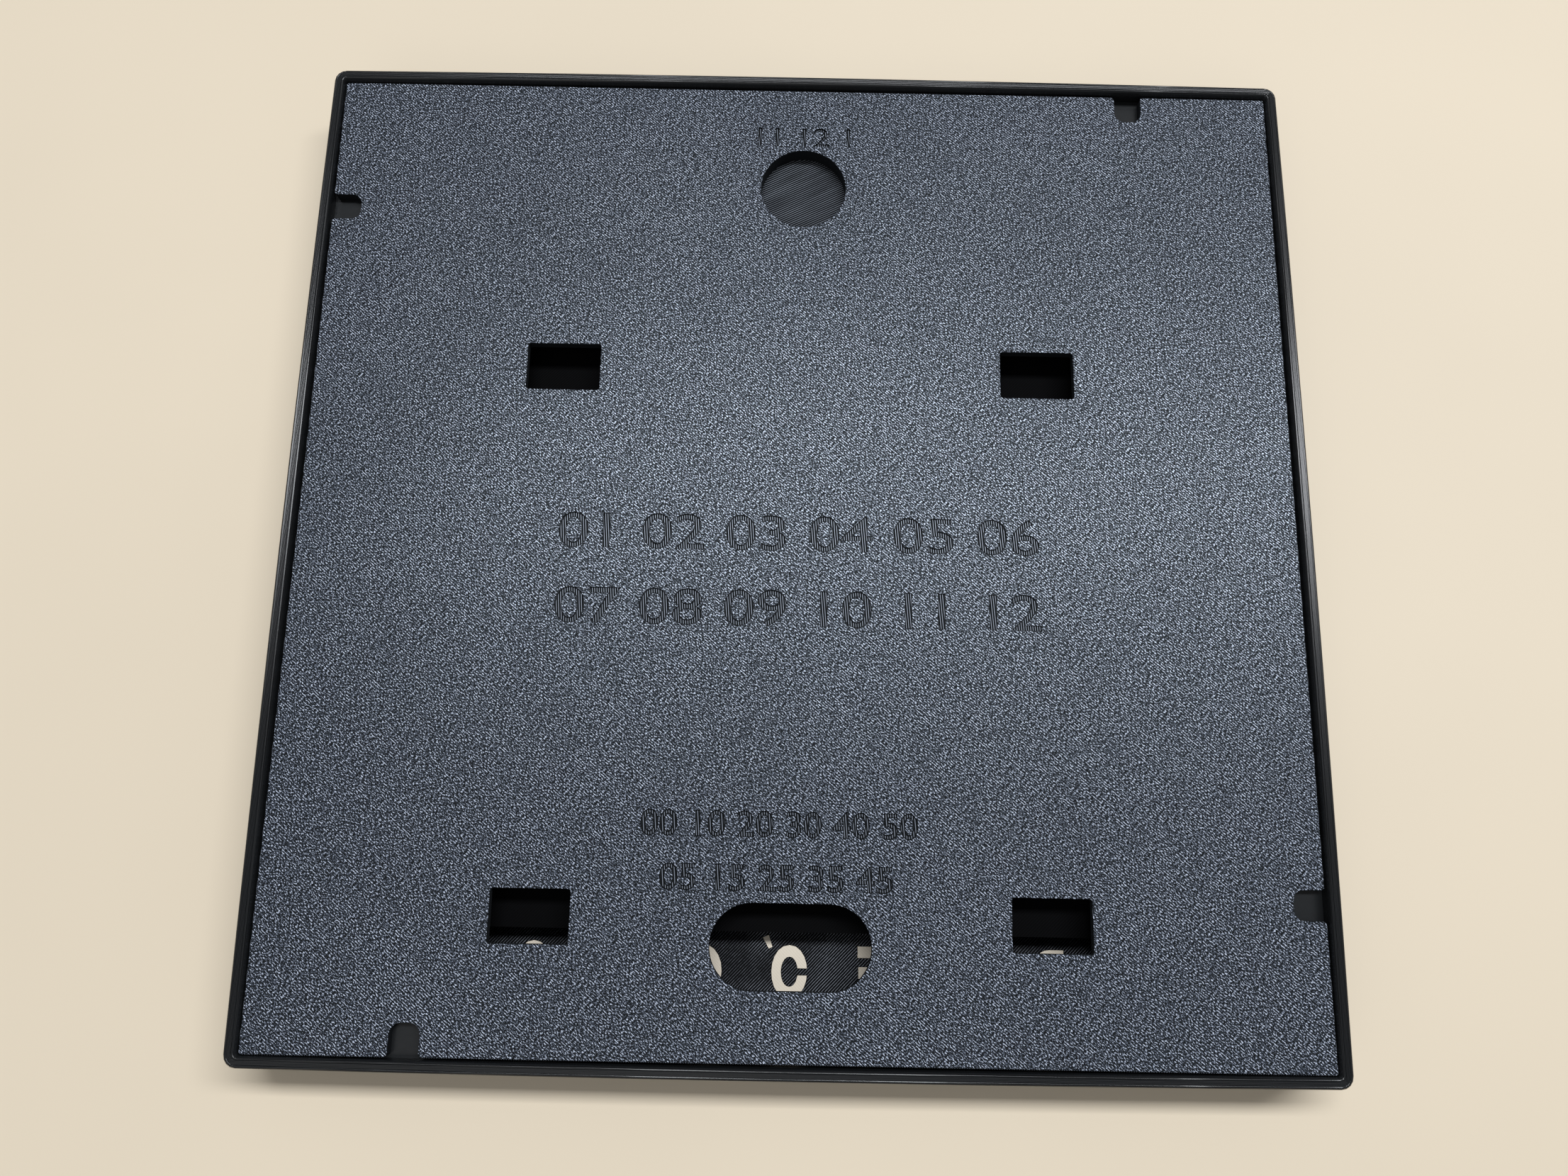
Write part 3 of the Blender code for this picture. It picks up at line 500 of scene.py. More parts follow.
def makeRearCover(look):
    cover = copyNode("rear_cover", "rearCover")
    top = coverHigh.z

    def topEdge(edge, a, b):
        sharp = len(edge.link_faces) == 2 and edge.calc_face_angle(0) > sharpAngle
        return sharp and abs(a.z - top) < weld and abs(b.z - top) < weld

    bevelEdges(cover, look["edge"], topEdge)
    floor = top - look["engraved"]
    tools = [openingTool(*look["opening"], look["openingSides"])]
    for text, middle, size, boldness in look["marks"]:
        tools.append(solidText(text, size, boldness, look["engraved"] * 2))
        tools[-1].data.transform(Matrix.Translation((*middle, top)))
    gridCuts(cover, look["grid"], coverHigh.x)
    carve(cover, join("numberTool", tools))
    startEditing(cover)
    chooseFaces(cover, lambda centre, normal: abs(centre.z - floor) < nearby and normal.z > facingShare)
    for width, rise in look["strandRim"]:
        insetFaces(width, rise, even=False)
    stopEditing()
    roundShading(cover, look["smooth"])
    paint(cover, grainedPrintWithPaintedLight(look))
    handOver(cover, "rear_cover", "rear_print", "rear_cover")


makeRearCover(coverLook)
print("rear cover done")


# Case walls, black print with its lines on the rim

wallLook = {
    "colour": (0.0015, 0.0017, 0.002),
    # painted highlight along the crests of the printed lines
    "lineCrestHighlight": (0.012, 0.013, 0.014),
    "rimLine": 0.00024,
    "rimDepth": 0.000012,
    "roughness": 0.22,
    "gloss": 0.3,
    "layer": 0.0002,
    "layerDepth": 0.00003,
    "ledgeAngle": 40,
    "ledgePitch": 1.2,  # in printed lines
    "ledgeWobble": 4.0,
    "uneven": 0.0009,
    "unevenShare": 0.35,
    "lineRange": (0.25, 0.8),
    "smooth": 50,
    "beads": [(0.0001, 0.0), (0.00012, -0.00001), (0.00005, -0.00005), (0.00005, 0.00006)],  # width and rise
}


def wallPrintWithPaintedLight(look):
    made, tree, shader = newFinish("wallPrintWithPaintedLight", Roughness=look["roughness"], Specular_IOR_Level=look["gloss"])
    place = put(tree, "SeparateXYZ", ("Vector", spread(tree)))
    across, along = (sums(tree, "ABSOLUTE", place.outputs[axis]) for axis in "XY")
    layers = lines(tree, 0, look["layer"], 0.5, "Z")
    ledge = sums(tree, "LESS_THAN", place.outputs["Z"], coverLow.z)
    rough = lines(tree, look["ledgeAngle"], lineWidth * look["ledgePitch"], look["ledgeWobble"])
    uneven = noise(tree, look["uneven"], 3.0, 0, (1, 1, 0.2))
    walls = blendValues(tree, look["unevenShare"], blendValues(tree, ledge, layers, rough), uneven)
    rim = blendValues(tree, sums(tree, "GREATER_THAN", across, along),
                      lines(tree, 0, look["rimLine"], 0.3, "Y"), lines(tree, 0, look["rimLine"], 0.3, "X"))
    onRim = sums(tree, "GREATER_THAN", place.outputs["Z"], caseHigh.z - look["layer"])
    form = blendValues(tree, onRim, walls, rim)
    start, end = look["lineRange"]
    # the crests of the printed lines get a painted highlight
    wire(tree, ramp(tree, form, (start, look["colour"]), (end, look["lineCrestHighlight"])), shader, "Base Color")
    wire(tree, blendColours(tree, onRim, relief(tree, walls, look["layerDepth"], 0.9),
                            relief(tree, rim, look["rimDepth"])), shader, "Normal")
    return made


def makeCaseWalls(look):
    walls = copyNode("case_frame", "caseWalls")
    startEditing(walls)
    chooseFaces(walls, lambda centre, normal: centre.z > caseHigh.z - weld and normal.z > facingShare)
    for width, rise in look["beads"]:
        insetFaces(width, rise)
    stopEditing()
    roundShading(walls, look["smooth"])
    paint(walls, wallPrintWithPaintedLight(look))
    handOver(walls, "case", "case_print", "case_frame")


makeCaseWalls(wallLook)
print("case walls done")


# Face with its letters let in. The letters are read from the other side, so they lie mirrored here.

letterLook = {
    "rows": ["ITKISLABOUT", "JTWENTYFIVE", "QUARTERDTEN", "HALFSPASTTO", "ONEUFOURSIX", "SEVENWEIGHT",
             "TWOELEVENGY", "NINEZTWELVE", "FIVEHTENUAM", "PMNOONNIGHT", "THREEOCLOCK"],
    "apostropheAfter": (10, 5),
    "tall": 0.0102,
    "wide": 0.0072,
    "wideLetters": {"I": 0.0024, "M": 0.0092, "W": 0.0098, "J": 0.0052},
    "boldness": 0.00062,
    "lessBold": {"R": 0.00035, "S": 0.00055, "G": 0.00055, "M": 0.00055},
    "smeared": {"R": 0.00027},  # its strokes get the rest of their width from shifted copies
    "bridge": 0.0011,  # width of what holds a closed letter's middle, and its heights up the letter
    "bridgeShares": {"A": [0.34], "B": [0.72, 0.28], "D": [0.5], "O": [0.5], "P": [0.7], "Q": [0.55],
                     "R": [0.7]},
    "apostrophe": {"offset": (0.0042, 0.0055), "size": (0.0015, 0.0026), "taper": 0.6, "slant": 24},
    "fit": 0.00002,
    "sunk": 0.00006,
    "gap": 0.00012,  # width of the groove around each letter on the inside, whose walls and floor are painted in shade
    "step": 0.0004,  # depth of that groove
    "colour": (0.72, 0.64, 0.52),
    "seam": (0.67, 0.59, 0.475),
    "seamRange": (0.2, 0.55),
    "seamAngle": -45,
    "cloud": 0.0015,
    "depth": 0.00002,
    # painted shade in the groove around each letter
    "grooveShadeColour": (0.002, 0.002, 0.0025, 1.0),
    "roughness": 0.5,
}
faceLook = {
    "colour": (0.001, 0.001, 0.0015),
    # painted highlight on the crests of the printed hatch
    "ridge": (0.26, 0.28, 0.32),
    "shine": (0.9, 0.25),
    "gloss": 0.18,
    # patches over which the painted highlights on the hatch grow stronger or weaker
    "cloud": 0.011,
    "cloudRange": (0.35, 0.6),
    "cloudShares": (0.86, 1.0),
    "uneven": 0.0007,
    "unevenShare": 0.2,
    "hatchAngle": 46,
    "hatchWobble": 0.8,
    "hatchDepth": 0.00006,
    "ridgeRange": (0.68, 0.96),
    "grain": 0.00052,
    "grainLift": 0.12,  # lifts the grain of the bed side into painted glints
}


def makeGlyph(character, look, growth, thickness):
    wide, tall = look["wideLetters"].get(character, look["wide"]), look["tall"]
    shift = look["smeared"].get(character, 0)
    size = [extent + 2 * growth - 2 * shift for extent in (wide, tall)]
    glyph = solidText(character, size, look["lessBold"].get(character, look["boldness"]) + growth, thickness)
    if shift:
        glyph.data.transform(Matrix.Translation((-shift, -shift, 0)))
        for move in ((2 * shift, 0, 0), (0, 2 * shift, 0)):
            carve(glyph, copyTo(glyph, "shifted", move), "UNION")
    for share in look["bridgeShares"].get(character, []):
        y = (share - 0.5) * tall
        half = look["bridge"] / 2 - growth
        carve(glyph, block("bridgeTool", (-wide, y - half, -thickness), (0, y + half, thickness)))
    return glyph


def makeApostrophe(look, growth, thickness):
    mark = look["apostrophe"]
    across, up = (size / 2 + growth for size in mark["size"])
    made = block("apostrophe", (-across, -up, -thickness / 2), (across, up, thickness / 2))
    startEditing(made)
    chooseFaces(made, lambda centre, normal: normal.y < -facingShare)
    bpy.ops.transform.resize(value=(mark["taper"], 1, 1))
    stopEditing()
    made.data.transform(Matrix.Rotation(-math.radians(mark["slant"]), 4, "Z"))
    made.data.transform(Matrix.Translation((*mark["offset"], 0)))
    return made


def letterField(name, look, growth, low, high):
    glyphs, placed = {}, []
    centreZ = (low + high) / 2
    for row, letters in enumerate(look["rows"]):
        y = rowCentres[0].y - row * ledPitch
        for column, character in enumerate(letters):
            if character not in glyphs:
                glyphs[character] = makeGlyph(character, look, growth, high - low)
            x = (column - (len(letters) - 1) / 2) * ledPitch
            placed.append(copyTo(glyphs[character], "letter", (x, y, centreZ)))
            if (row, column) == look["apostropheAfter"]:
                mark = makeApostrophe(look, growth, high - low)
                mark.data.transform(Matrix.Translation((x, y, centreZ)))
                placed.append(mark)
    for glyph in glyphs.values():
        bpy.data.objects.remove(glyph)
    field = join(name, placed)
    startEditing(field)
    bpy.ops.mesh.select_all(action="SELECT")
    bpy.ops.transform.resize(value=(-1, 1, 1), center_override=(0, 0, 0))
    cleanUp()
    stopEditing()
    return field


def facePrintWithPaintedLight(look):
    made, tree, shader = newFinish("facePrintWithPaintedLight", Specular_IOR_Level=look["gloss"])
    start, end = look["ridgeRange"]
    hatch = lines(tree, look["hatchAngle"], lineWidth, look["hatchWobble"])
    uneven = noise(tree, look["uneven"], 2.0)
    bedSide = sums(tree, "LESS_THAN", height(tree), faceHigh.z / 2)
    cloud = remap(tree, noise(tree, look["cloud"], 1.0), *look["cloudRange"], *look["cloudShares"])
    inside = sums(tree, "MULTIPLY", blendValues(tree, look["unevenShare"], hatch, uneven), cloud)
    inside = blendValues(tree, sums(tree, "LESS_THAN", height(tree), faceHigh.z - weld), inside, 0.0)
    grain = sums(tree, "ADD", noise(tree, look["grain"], 2.0), look["grainLift"])
    form = blendValues(tree, bedSide, inside, grain)
    # the hatch's ridges and the bed side's grains get a painted highlight
    wire(tree, ramp(tree, form, (start, look["colour"]), (end, look["ridge"])), shader, "Base Color")
    wire(tree, remap(tree, form, start, end, *look["shine"]), shader, "Roughness")
    wire(tree, relief(tree, form, look["hatchDepth"], 0.9), shader, "Normal")
    return made


def letterPlasticWithPaintedShade(look):
    made, tree, shader = newFinish("letterPlasticWithPaintedShade", Roughness=look["roughness"])
    start, end = look["seamRange"]
    form = blendValues(tree, 0.5, lines(tree, look["seamAngle"], lineWidth), noise(tree, look["cloud"], 3.0))
    pale = ramp(tree, form, (start, look["seam"]), (end, look["colour"]))
    top = faceHigh.z - look["sunk"] - weld
    # the groove's walls and floor, between half height and the top, get painted shade
    groove = sums(tree, "MULTIPLY", sums(tree, "LESS_THAN", height(tree), top),
                  sums(tree, "GREATER_THAN", height(tree), faceHigh.z / 2))
    wire(tree, blendColours(tree, groove, pale, look["grooveShadeColour"]), shader, "Base Color")
    wire(tree, relief(tree, form, look["depth"], 0.4), shader, "Normal")
    return made


def makeFace(look, letters):
    panel = copyNode("front_panel", "facePanel")
    past = faceHigh.z / 2
    gridCuts(panel, ledPitch, faceHigh.x)
    carve(panel, letterField("letterTool", letters, 0.0, faceLow.z - past, faceHigh.z + past))
    roundShading(panel)
    paint(panel, facePrintWithPaintedLight(look))
    handOver(panel, "case", "face_print", "front_panel")
    step, top = faceHigh.z - letters["step"], faceHigh.z - letters["sunk"]
    foot = letterField("letterFoot", letters, -letters["fit"], faceLow.z, step)
    crown = letterField("letterCrown", letters, -letters["gap"], step - letters["sunk"], top)
    inlays = join("letterInlays", [foot, crown])
    roundShading(inlays)
    paint(inlays, letterPlasticWithPaintedShade(letters))
    handOver(inlays, "case", "letter_inlay")


makeFace(faceLook, letterLook)
print("face and letters done")


# Baffle and carrier, matt black print

innerLook = {
    "colour": (0.0012, 0.0012, 0.0014),
    # a faint painted highlight on the crests of the printed lines
    "ridge": (0.002, 0.002, 0.0024),
    "roughness": 0.75,
    "gloss": 0.05,
    "angle": 45,
    "wobble": 0.7,
    "uneven": 0.001,
    "unevenShare": 0.3,
    "ridgeRange": (0.3, 0.9),
    "depth": 0.00008,
}


def innerPrintWithPaintedLight(look):
    made, tree, shader = newFinish("innerPrintWithPaintedLight", Roughness=look["roughness"],
                                   Specular_IOR_Level=look["gloss"])
    start, end = look["ridgeRange"]
    form = blendValues(tree, look["unevenShare"], lines(tree, look["angle"], lineWidth, look["wobble"]),
                       noise(tree, look["uneven"], 2.0))
    wire(tree, ramp(tree, form, (start, look["colour"]), (end, look["ridge"])), shader, "Base Color")
    wire(tree, relief(tree, form, look["depth"], 0.8), shader, "Normal")
    return made


innerFinish = innerPrintWithPaintedLight(innerLook)
for name in ("light_baffle", "led_carrier"):
    nodes[name].data.materials.clear()
    paint(nodes[name], innerFinish)
print("baffle and carrier done")


# LED tapes, white flexible board with a light in each letter's cell

tapeLook = {
    "board": (0.74, 0.73, 0.70),
    "package": (0.80, 0.79, 0.75),
    "gel": (0.62, 0.50, 0.12),
    "copper": (0.62, 0.38, 0.17),
    "lightRound": 0.0003,
    "gelWidth": 0.0005,
    "gelDepth": 0.00012,
    "pad": (0.0019, 0.0009, 0.00002),
    "padSpacing": 0.0015,
    "capacitor": (0.0005, 0.001, 0.0005),
    "capacitorOffset": 0.0033,
    "lights": 11,
    "boardShare": 0.25,  # of the height, left above the lights
    "gelReach": 2.5,  # in gel widths from the middle line
    "gelFacing": 0.5,
}


def makeTapes(look):
    finishes = [
        speckled("tapeBoard", look["board"], 0.45),
        speckled("lightPackage", look["package"], 0.35),
        speckled("lightGel", look["gel"], 0.15, grain=0.0002),
        speckled("barePads", look["copper"], 0.3, 1.0, 0.0003),
    ]
    low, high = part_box(rowNames[0])
    middleY = (low.y + high.y) / 2
    tape = copyNode(rowNames[0], "tape")
    paint(tape, *finishes)
    bevelEdges(tape, look["lightRound"], lambda edge, a, b: min(a.z, b.z) < low.z + weld)
    startEditing(tape)
    chooseFaces(tape, lambda centre, normal: centre.z < low.z + weld and normal.z < -facingShare)
    bpy.ops.mesh.inset(thickness=look["gelWidth"], use_individual=True)
    bpy.ops.mesh.inset(thickness=look["gelDepth"], depth=-look["gelDepth"], use_individual=True)
    stopEditing()
    boardFace = high.z - (high.z - low.z) * look["boardShare"]
    assign(tape, 1, lambda centre, normal: centre.z < boardFace)
    reach = look["gelWidth"] * look["gelReach"]
    assign(tape, 2, lambda centre, normal: low.z + weld < centre.z < low.z + 2 * look["gelDepth"]
           and normal.z < -look["gelFacing"] and abs(centre.y - middleY) < reach)
    ends = [vertex.co.z for vertex in tape.data.vertices if abs(vertex.co.x) > high.x - weld]
    underside = min(boardFace, *ends)
    halfPad = Vector(look["pad"]) / 2
    halfPart = Vector(look["capacitor"]) / 2
    pad = block("pad", -halfPad, halfPad, halfPad.z / 2, 1)
    part = block("capacitor", -halfPart, halfPart, halfPart.x / 4, 2)
    for made, finish in ((pad, finishes[3]), (part, finishes[0])):
        paint(made, finish)
    extras = []
    for cut in range(look["lights"] + 1):
        x = low.x + cut * ledPitch
        inwards = max(low.x + halfPad.x, min(x, high.x - halfPad.x))
        for lane in (-1, 0, 1):
            y = middleY + lane * look["padSpacing"]
            extras.append(copyTo(pad, "pad", (inwards, y, underside - halfPad.z)))
        if cut < look["lights"]:
            middle = x + ledPitch / 2 + look["capacitorOffset"]
            extras.append(copyTo(part, "capacitor", (middle, middleY, underside - halfPart.z)))
    for made in (pad, part):
        bpy.data.objects.remove(made)
    tape = join("tape", [tape, *extras])
    roundShading(tape)
    for number, (name, centre) in enumerate(zip(rowNames, rowCentres), 1):
        rowTape = copyTo(tape, f"tape{number:02d}", (0, centre.y - rowCentres[0].y, 0))
        handOver(rowTape, "case", "led_tape", name)
    edgeLow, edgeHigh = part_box("led_tape_bottom_edge")
    edgeTape = copyTo(tape, "edgeTape", (0, -middleY, -high.z))
    edgeTape.data.transform(Matrix.Rotation(math.pi / 2, 4, "X"))
    edgeTape.data.transform(Matrix.Translation((0, edgeLow.y, (edgeLow.z + edgeHigh.z) / 2)))
    handOver(edgeTape, "case", "led_tape", "led_tape_bottom_edge")
    bpy.data.objects.remove(tape)


makeTapes(tapeLook)
print("LED tapes done")


# Ribbons of three cores, which run where the plain ribbons do

ribbonLook = {
    "radius": 0.00047,
    "spacing": 0.00088,
    "colours": [(0.50, 0.015, 0.012), (0.02, 0.25, 0.05), (0.62, 0.61, 0.58)],
    "roughness": 0.38,
    "grain": 0.002,
    "sides": 3,
    "smooth": 50,
    "steps": 14,
    "curveSteps": 6,
}


def coreFinishes(look):
    return [speckled(f"core{number}", colour, look["roughness"], grain=look["grain"])
            for number, colour in enumerate(look["colours"], 1)]


def sweepCores(name, path, side, twist, look, finishes):
    cores = []
    side = Vector(side)
    lanes = [[], [], []]
    for step, point in enumerate(path):
        before, after = path[max(step - 1, 0)], path[min(step + 1, len(path) - 1)]
        along = (after - before).normalized()
        side = (side - side.dot(along) * along).normalized()
        turned = Matrix.Rotation(twist * step / (len(path) - 1), 3, along) @ side
        for lane, across in zip(lanes, (-1, 0, 1)):
            lane.append(point + turned * across * look["spacing"])
    for lane, finish in zip(lanes, finishes):
        core = tube("core", lane, look["radius"], look["sides"])
        paint(core, finish)
        cores.append(core)
    ribbon = join(name, cores)
    roundShading(ribbon, look["smooth"])
    return ribbon


def curveThrough(points, steps):  # a smooth path that passes every point
    ends = [points[0] * 2 - points[1], *points, points[-1] * 2 - points[-2]]
    path = []
    for a, b, c, d in zip(ends, ends[1:], ends[2:], ends[3:]):
        for step in range(steps):
            t = step / steps
            path.append((b * 2 + (c - a) * t + (a * 2 - b * 5 + c * 4 - d) * t * t
                         + (b * 3 - a - c * 3 + d) * t * t * t) / 2)
    return path + [points[-1]]


def makeRowLink(number, look, finishes):
    low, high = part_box(f"row_link_{number:02d}")
    middle = (low + high) / 2
    side = math.copysign(1, middle.x)
    start, end = (low.x, high.x) if side > 0 else (high.x, low.x)
    reach = end - start - side * (look["spacing"] + look["radius"])
    path = []
    for step in range(look["steps"] + 1):
        angle = math.pi * step / look["steps"]
        x, y = start + reach * math.sin(angle), middle.y + ledPitch / 2 * math.cos(angle)
        path.append(Vector((x, y, middle.z)))
    ribbon = sweepCores(f"rowLink{number:02d}", path, (0, 1, 0), 0, look, finishes)
    handOver(ribbon, "case", "ribbon", f"row_link_{number:02d}")


def makeRibbons(look):
    finishes = coreFinishes(look)
    for number in range(1, len(rowNames)):
        makeRowLink(number, look, finishes)
    half = look["spacing"] + look["radius"]
    low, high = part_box("bottom_row_link")
    feedLow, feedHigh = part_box("feed_ribbon")
    edgeLow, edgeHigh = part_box("led_tape_bottom_edge")
    tapeZ = feedLow.z + look["radius"]
    last, first = rowCentres[-1].y, rowCentres[0].y
    edgeY, edgeZ = low.y + look["radius"], (edgeLow.z + edgeHigh.z) / 2
    startX, outX = high.x, low.x + half
    corner = (startX - outX) / 2
    places = [
        (startX, last, tapeZ), (startX - corner, last - corner / 4, tapeZ), (outX, last - corner * 2, tapeZ),
        (outX, (last + edgeY) / 2, (tapeZ + edgeZ) / 2), (outX, edgeY + corner * 2, edgeZ),
        (startX - corner, edgeY + corner / 4, edgeZ), (startX, edgeY, edgeZ),
    ]
    path = curveThrough([Vector(place) for place in places], look["curveSteps"])
    ribbon = sweepCores("bottomRowLink", path, (0, 1, 0), math.pi / 2, look, finishes)
    handOver(ribbon, "case", "ribbon", "bottom_row_link")
    backZ = feedHigh.z - look["radius"]
    feedX = feedHigh.x - half
    bend = (backZ - tapeZ) / 2
    edge = feedLow.x + look["radius"] + bend
    places = [
        (feedX, feedLow.y, backZ), (feedX, feedLow.y + ledPitch, backZ), (feedX, rowCentres[3].y, backZ),
        (feedX - ledPitch / 2, rowCentres[1].y, backZ), (feedX - ledPitch * 2, first, backZ),
        (startX + ledPitch / 2, first, backZ), (edge, first, backZ), (edge - bend, first, backZ - bend),
        (edge, first, tapeZ), (startX, first, tapeZ),
    ]
    path = curveThrough([Vector(place) for place in places], look["curveSteps"])
    ribbon = sweepCores("feedRibbon", path, (1, 0, 0), 0, look, finishes)
    handOver(ribbon, "case", "ribbon", "feed_ribbon")


makeRibbons(ribbonLook)
print("ribbons done")


# Controller board and what is soldered to it

boardLook = {
    "mask": (0.006, 0.022, 0.085),
    "metal": (0.72, 0.70, 0.66),
    "gold": (0.83, 0.60, 0.24),
    "black": (0.012, 0.012, 0.013),
    "edge": 0.00012,
    "holeEdge": 0.0003,  # longest edge of a pin hole's rim, which stays sharp
    "padRadius": 0.00085,
    "padBorder": 0.00037,
    "padProud": 0.00003,
    "padPitch": 0.00254,
    "padInset": 0.0013,
    "padCount": 8,
    "padSides": 16,
    "canRound": 0.0003,
    "contact": (0.0008, 0.0009),
    "contactPitch": 0.002,
    "contactCount": 8,
    "aerialWidth": 0.00022,
    "aerialBends": 6,
    "chips": [((-0.0082, -0.0656), (0.0031, 0.0017, 0.0011)),  # middle and size
              ((-0.0082, -0.0625), (0.003, 0.003, 0.0009))],
    "chipLeg": (0.0004, 0.0005, 0.0002),
}


def boardFinishes(look):
    return {
        "mask": speckled("solderMask", look["mask"], 0.28, grain=0.0016, depth=0.00001),
        "metal": speckled("tinnedMetal", look["metal"], 0.28, 1.0, 0.0012),
        "gold": speckled("goldPlate", look["gold"], 0.25, 1.0, 0.0006),
        "black": speckled("mouldedBlack", look["black"], 0.45, grain=0.0003),
    }


def makeEyelet(look, finish):
    depth = boardHigh.z - boardLow.z + 2 * look["padProud"]
    made = cylinder("eyelet", look["padSides"], look["padRadius"], depth, (boardLow.z + boardHigh.z) / 2)
    startEditing(made)
    chooseFaces(made, lambda centre, normal: abs(normal.z) > facingShare)
    bpy.ops.mesh.inset(thickness=look["padBorder"], use_individual=True)
    bpy.ops.mesh.delete(type="FACE")
    inner = look["padRadius"] - look["padBorder"] / 2
    chooseEdges(made, lambda edge, a, b: len(edge.link_faces) == 1 and a.xy.length < inner)
    bpy.ops.mesh.bridge_edge_loops()
    cleanUp()
    stopEditing()
    paint(made, finish)
    return made


def makeChip(middle, size, look, finishes):
    (x, y), (across, along, tall) = middle, size
    low = Vector((x - across / 2, y - along / 2, boardHigh.z))
    body = block("chip", low, low + Vector(size), tall / 8)
    paint(body, finishes["black"])
    parts = [body]
    *size, thick = look["chipLeg"]
    for lane in (-1, 0, 1):
        for side in (-1, 1):
            place = (x + lane * across / 3, y + side * (along / 2 + size[1] / 2))
            leg = slab("leg", *place, size, boardHigh.z, boardHigh.z + thick, thick / 4)
            paint(leg, finishes["metal"])
            parts.append(leg)
    return parts


def makeBoard(look, finishes):
    board = copyNode("controller_board", "board")

    def outline(edge, a, b):
        sharp = edge.calc_face_angle(0) > sharpAngle and abs(a.z - b.z) < weld
        return sharp and edge.calc_length() > look["holeEdge"]

    bevelEdges(board, look["edge"], outline)
    paint(board, finishes["mask"])
    parts = [board]
    middleY = (boardLow.y + boardHigh.y) / 2
    eyelet = makeEyelet(look, finishes["metal"])
    for side in (-1, 1):
        for number in range(look["padCount"]):
            x = side * (boardHigh.x - look["padInset"])
            y = middleY + (number - (look["padCount"] - 1) / 2) * look["padPitch"]
            parts.append(copyTo(eyelet, "eyelet", (x, y, 0)))
    bpy.data.objects.remove(eyelet)
    for middle, size in look["chips"]:
        parts += makeChip(middle, size, look, finishes)
    board = join("board", parts)
    roundShading(board)
    handOver(board, "case", "circuit_board", "controller_board")


def makeRadio(look, finishes):
    radio = copyNode("wifi_module", "radioModule")
    paint(radio, finishes["mask"], finishes["metal"])
    middleZ = (moduleLow.z + moduleHigh.z) / 2
    assign(radio, 1, lambda centre, normal: centre.z > middleZ)
    bevelEdges(radio, look["canRound"], lambda edge, a, b: max(a.z, b.z) > moduleHigh.z - weld, 3)
    base = min(vertex.co.z for vertex in radio.data.vertices if vertex.co.z > moduleLow.z + weld)
    parts = [radio]
    middleY = (moduleLow.y + moduleHigh.y) / 2 - look["contactPitch"]
    for side in (-1, 1):
        for number in range(look["contactCount"]):
            y = middleY + (number - (look["contactCount"] - 1) / 2) * look["contactPitch"]
            x = side * (moduleHigh.x - look["contact"][0] / 2 + look["padProud"])
            contact = slab("contact", x, y, look["contact"], moduleLow.z - look["padProud"],
                           base + look["padProud"], look["padProud"] / 2)
            paint(contact, finishes["gold"])
            parts.append(contact)
    parts.append(makeAerial(look, finishes["gold"], base))
    radio = join("radioModule", parts)
    roundShading(radio)
    handOver(radio, "case", "shield_can", "wifi_module")


def makeAerial(look, finish, base):
    edge = moduleHigh.x - look["contactPitch"]
    far = moduleHigh.y - look["contactPitch"] / 4
    near = far - look["contactPitch"] * 2
    points = [(-edge, near - look["contactPitch"] / 2, 0)]
    for bend in range(look["aerialBends"]):
        x = -edge + bend * 2 * edge / (look["aerialBends"] - 1)
        pair = [(x, near, 0), (x, far, 0)]
        points += pair if bend % 2 == 0 else reversed(pair)
    aerial = tube("aerial", points, look["aerialWidth"], 1)
    aerial.data.transform(Matrix.Diagonal((1, 1, look["padProud"] / look["aerialWidth"], 1)))
    aerial.data.transform(Matrix.Translation((0, 0, base)))
    paint(aerial, finish)
    return aerial


socketLook = {
    "lip": 0.00008,
    "mouth": 0.1,  # shares of the socket's length that stay bright at its mouth and its back
    "back": 1 / 6,
    "tongueWidth": 1 / 2.9,  # shares of its width and height that bound the black tongue, from the middle
    "tongueHeight": 1 / 3.2,
}


def makeSocket(look, finishes):
    low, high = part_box("usb_socket")
    socket = copyNode("usb_socket", "socket")
    paint(socket, finishes["metal"], finishes["black"])
    size, middle = high - low, (low + high) / 2
    near, far = low.y + size.y * look["mouth"], high.y - size.y * look["back"]
    assign(socket, 1, lambda centre, normal: near < centre.y < far
           and abs(centre.x) < size.x * look["tongueWidth"]
           and abs(centre.z - middle.z) < size.z * look["tongueHeight"])
    bevelEdges(socket, look["lip"], lambda edge, a, b: max(a.y, b.y) < low.y + weld)
    roundShading(socket)
    handOver(socket, "case", "shield_can", "usb_socket")


switchLook = {
    "edge": 0.00015,
    "wellParts": 2.4,  # the body's length over this is how far around the button its edges stay sharp
    "leg": (0.0006, 0.0005, 0.0002),
    "cap": (0.02, 0.02, 0.022),
    "capRound": 0.0001,
    "capAngle": 0.2,
    "capSmooth": 50,
}


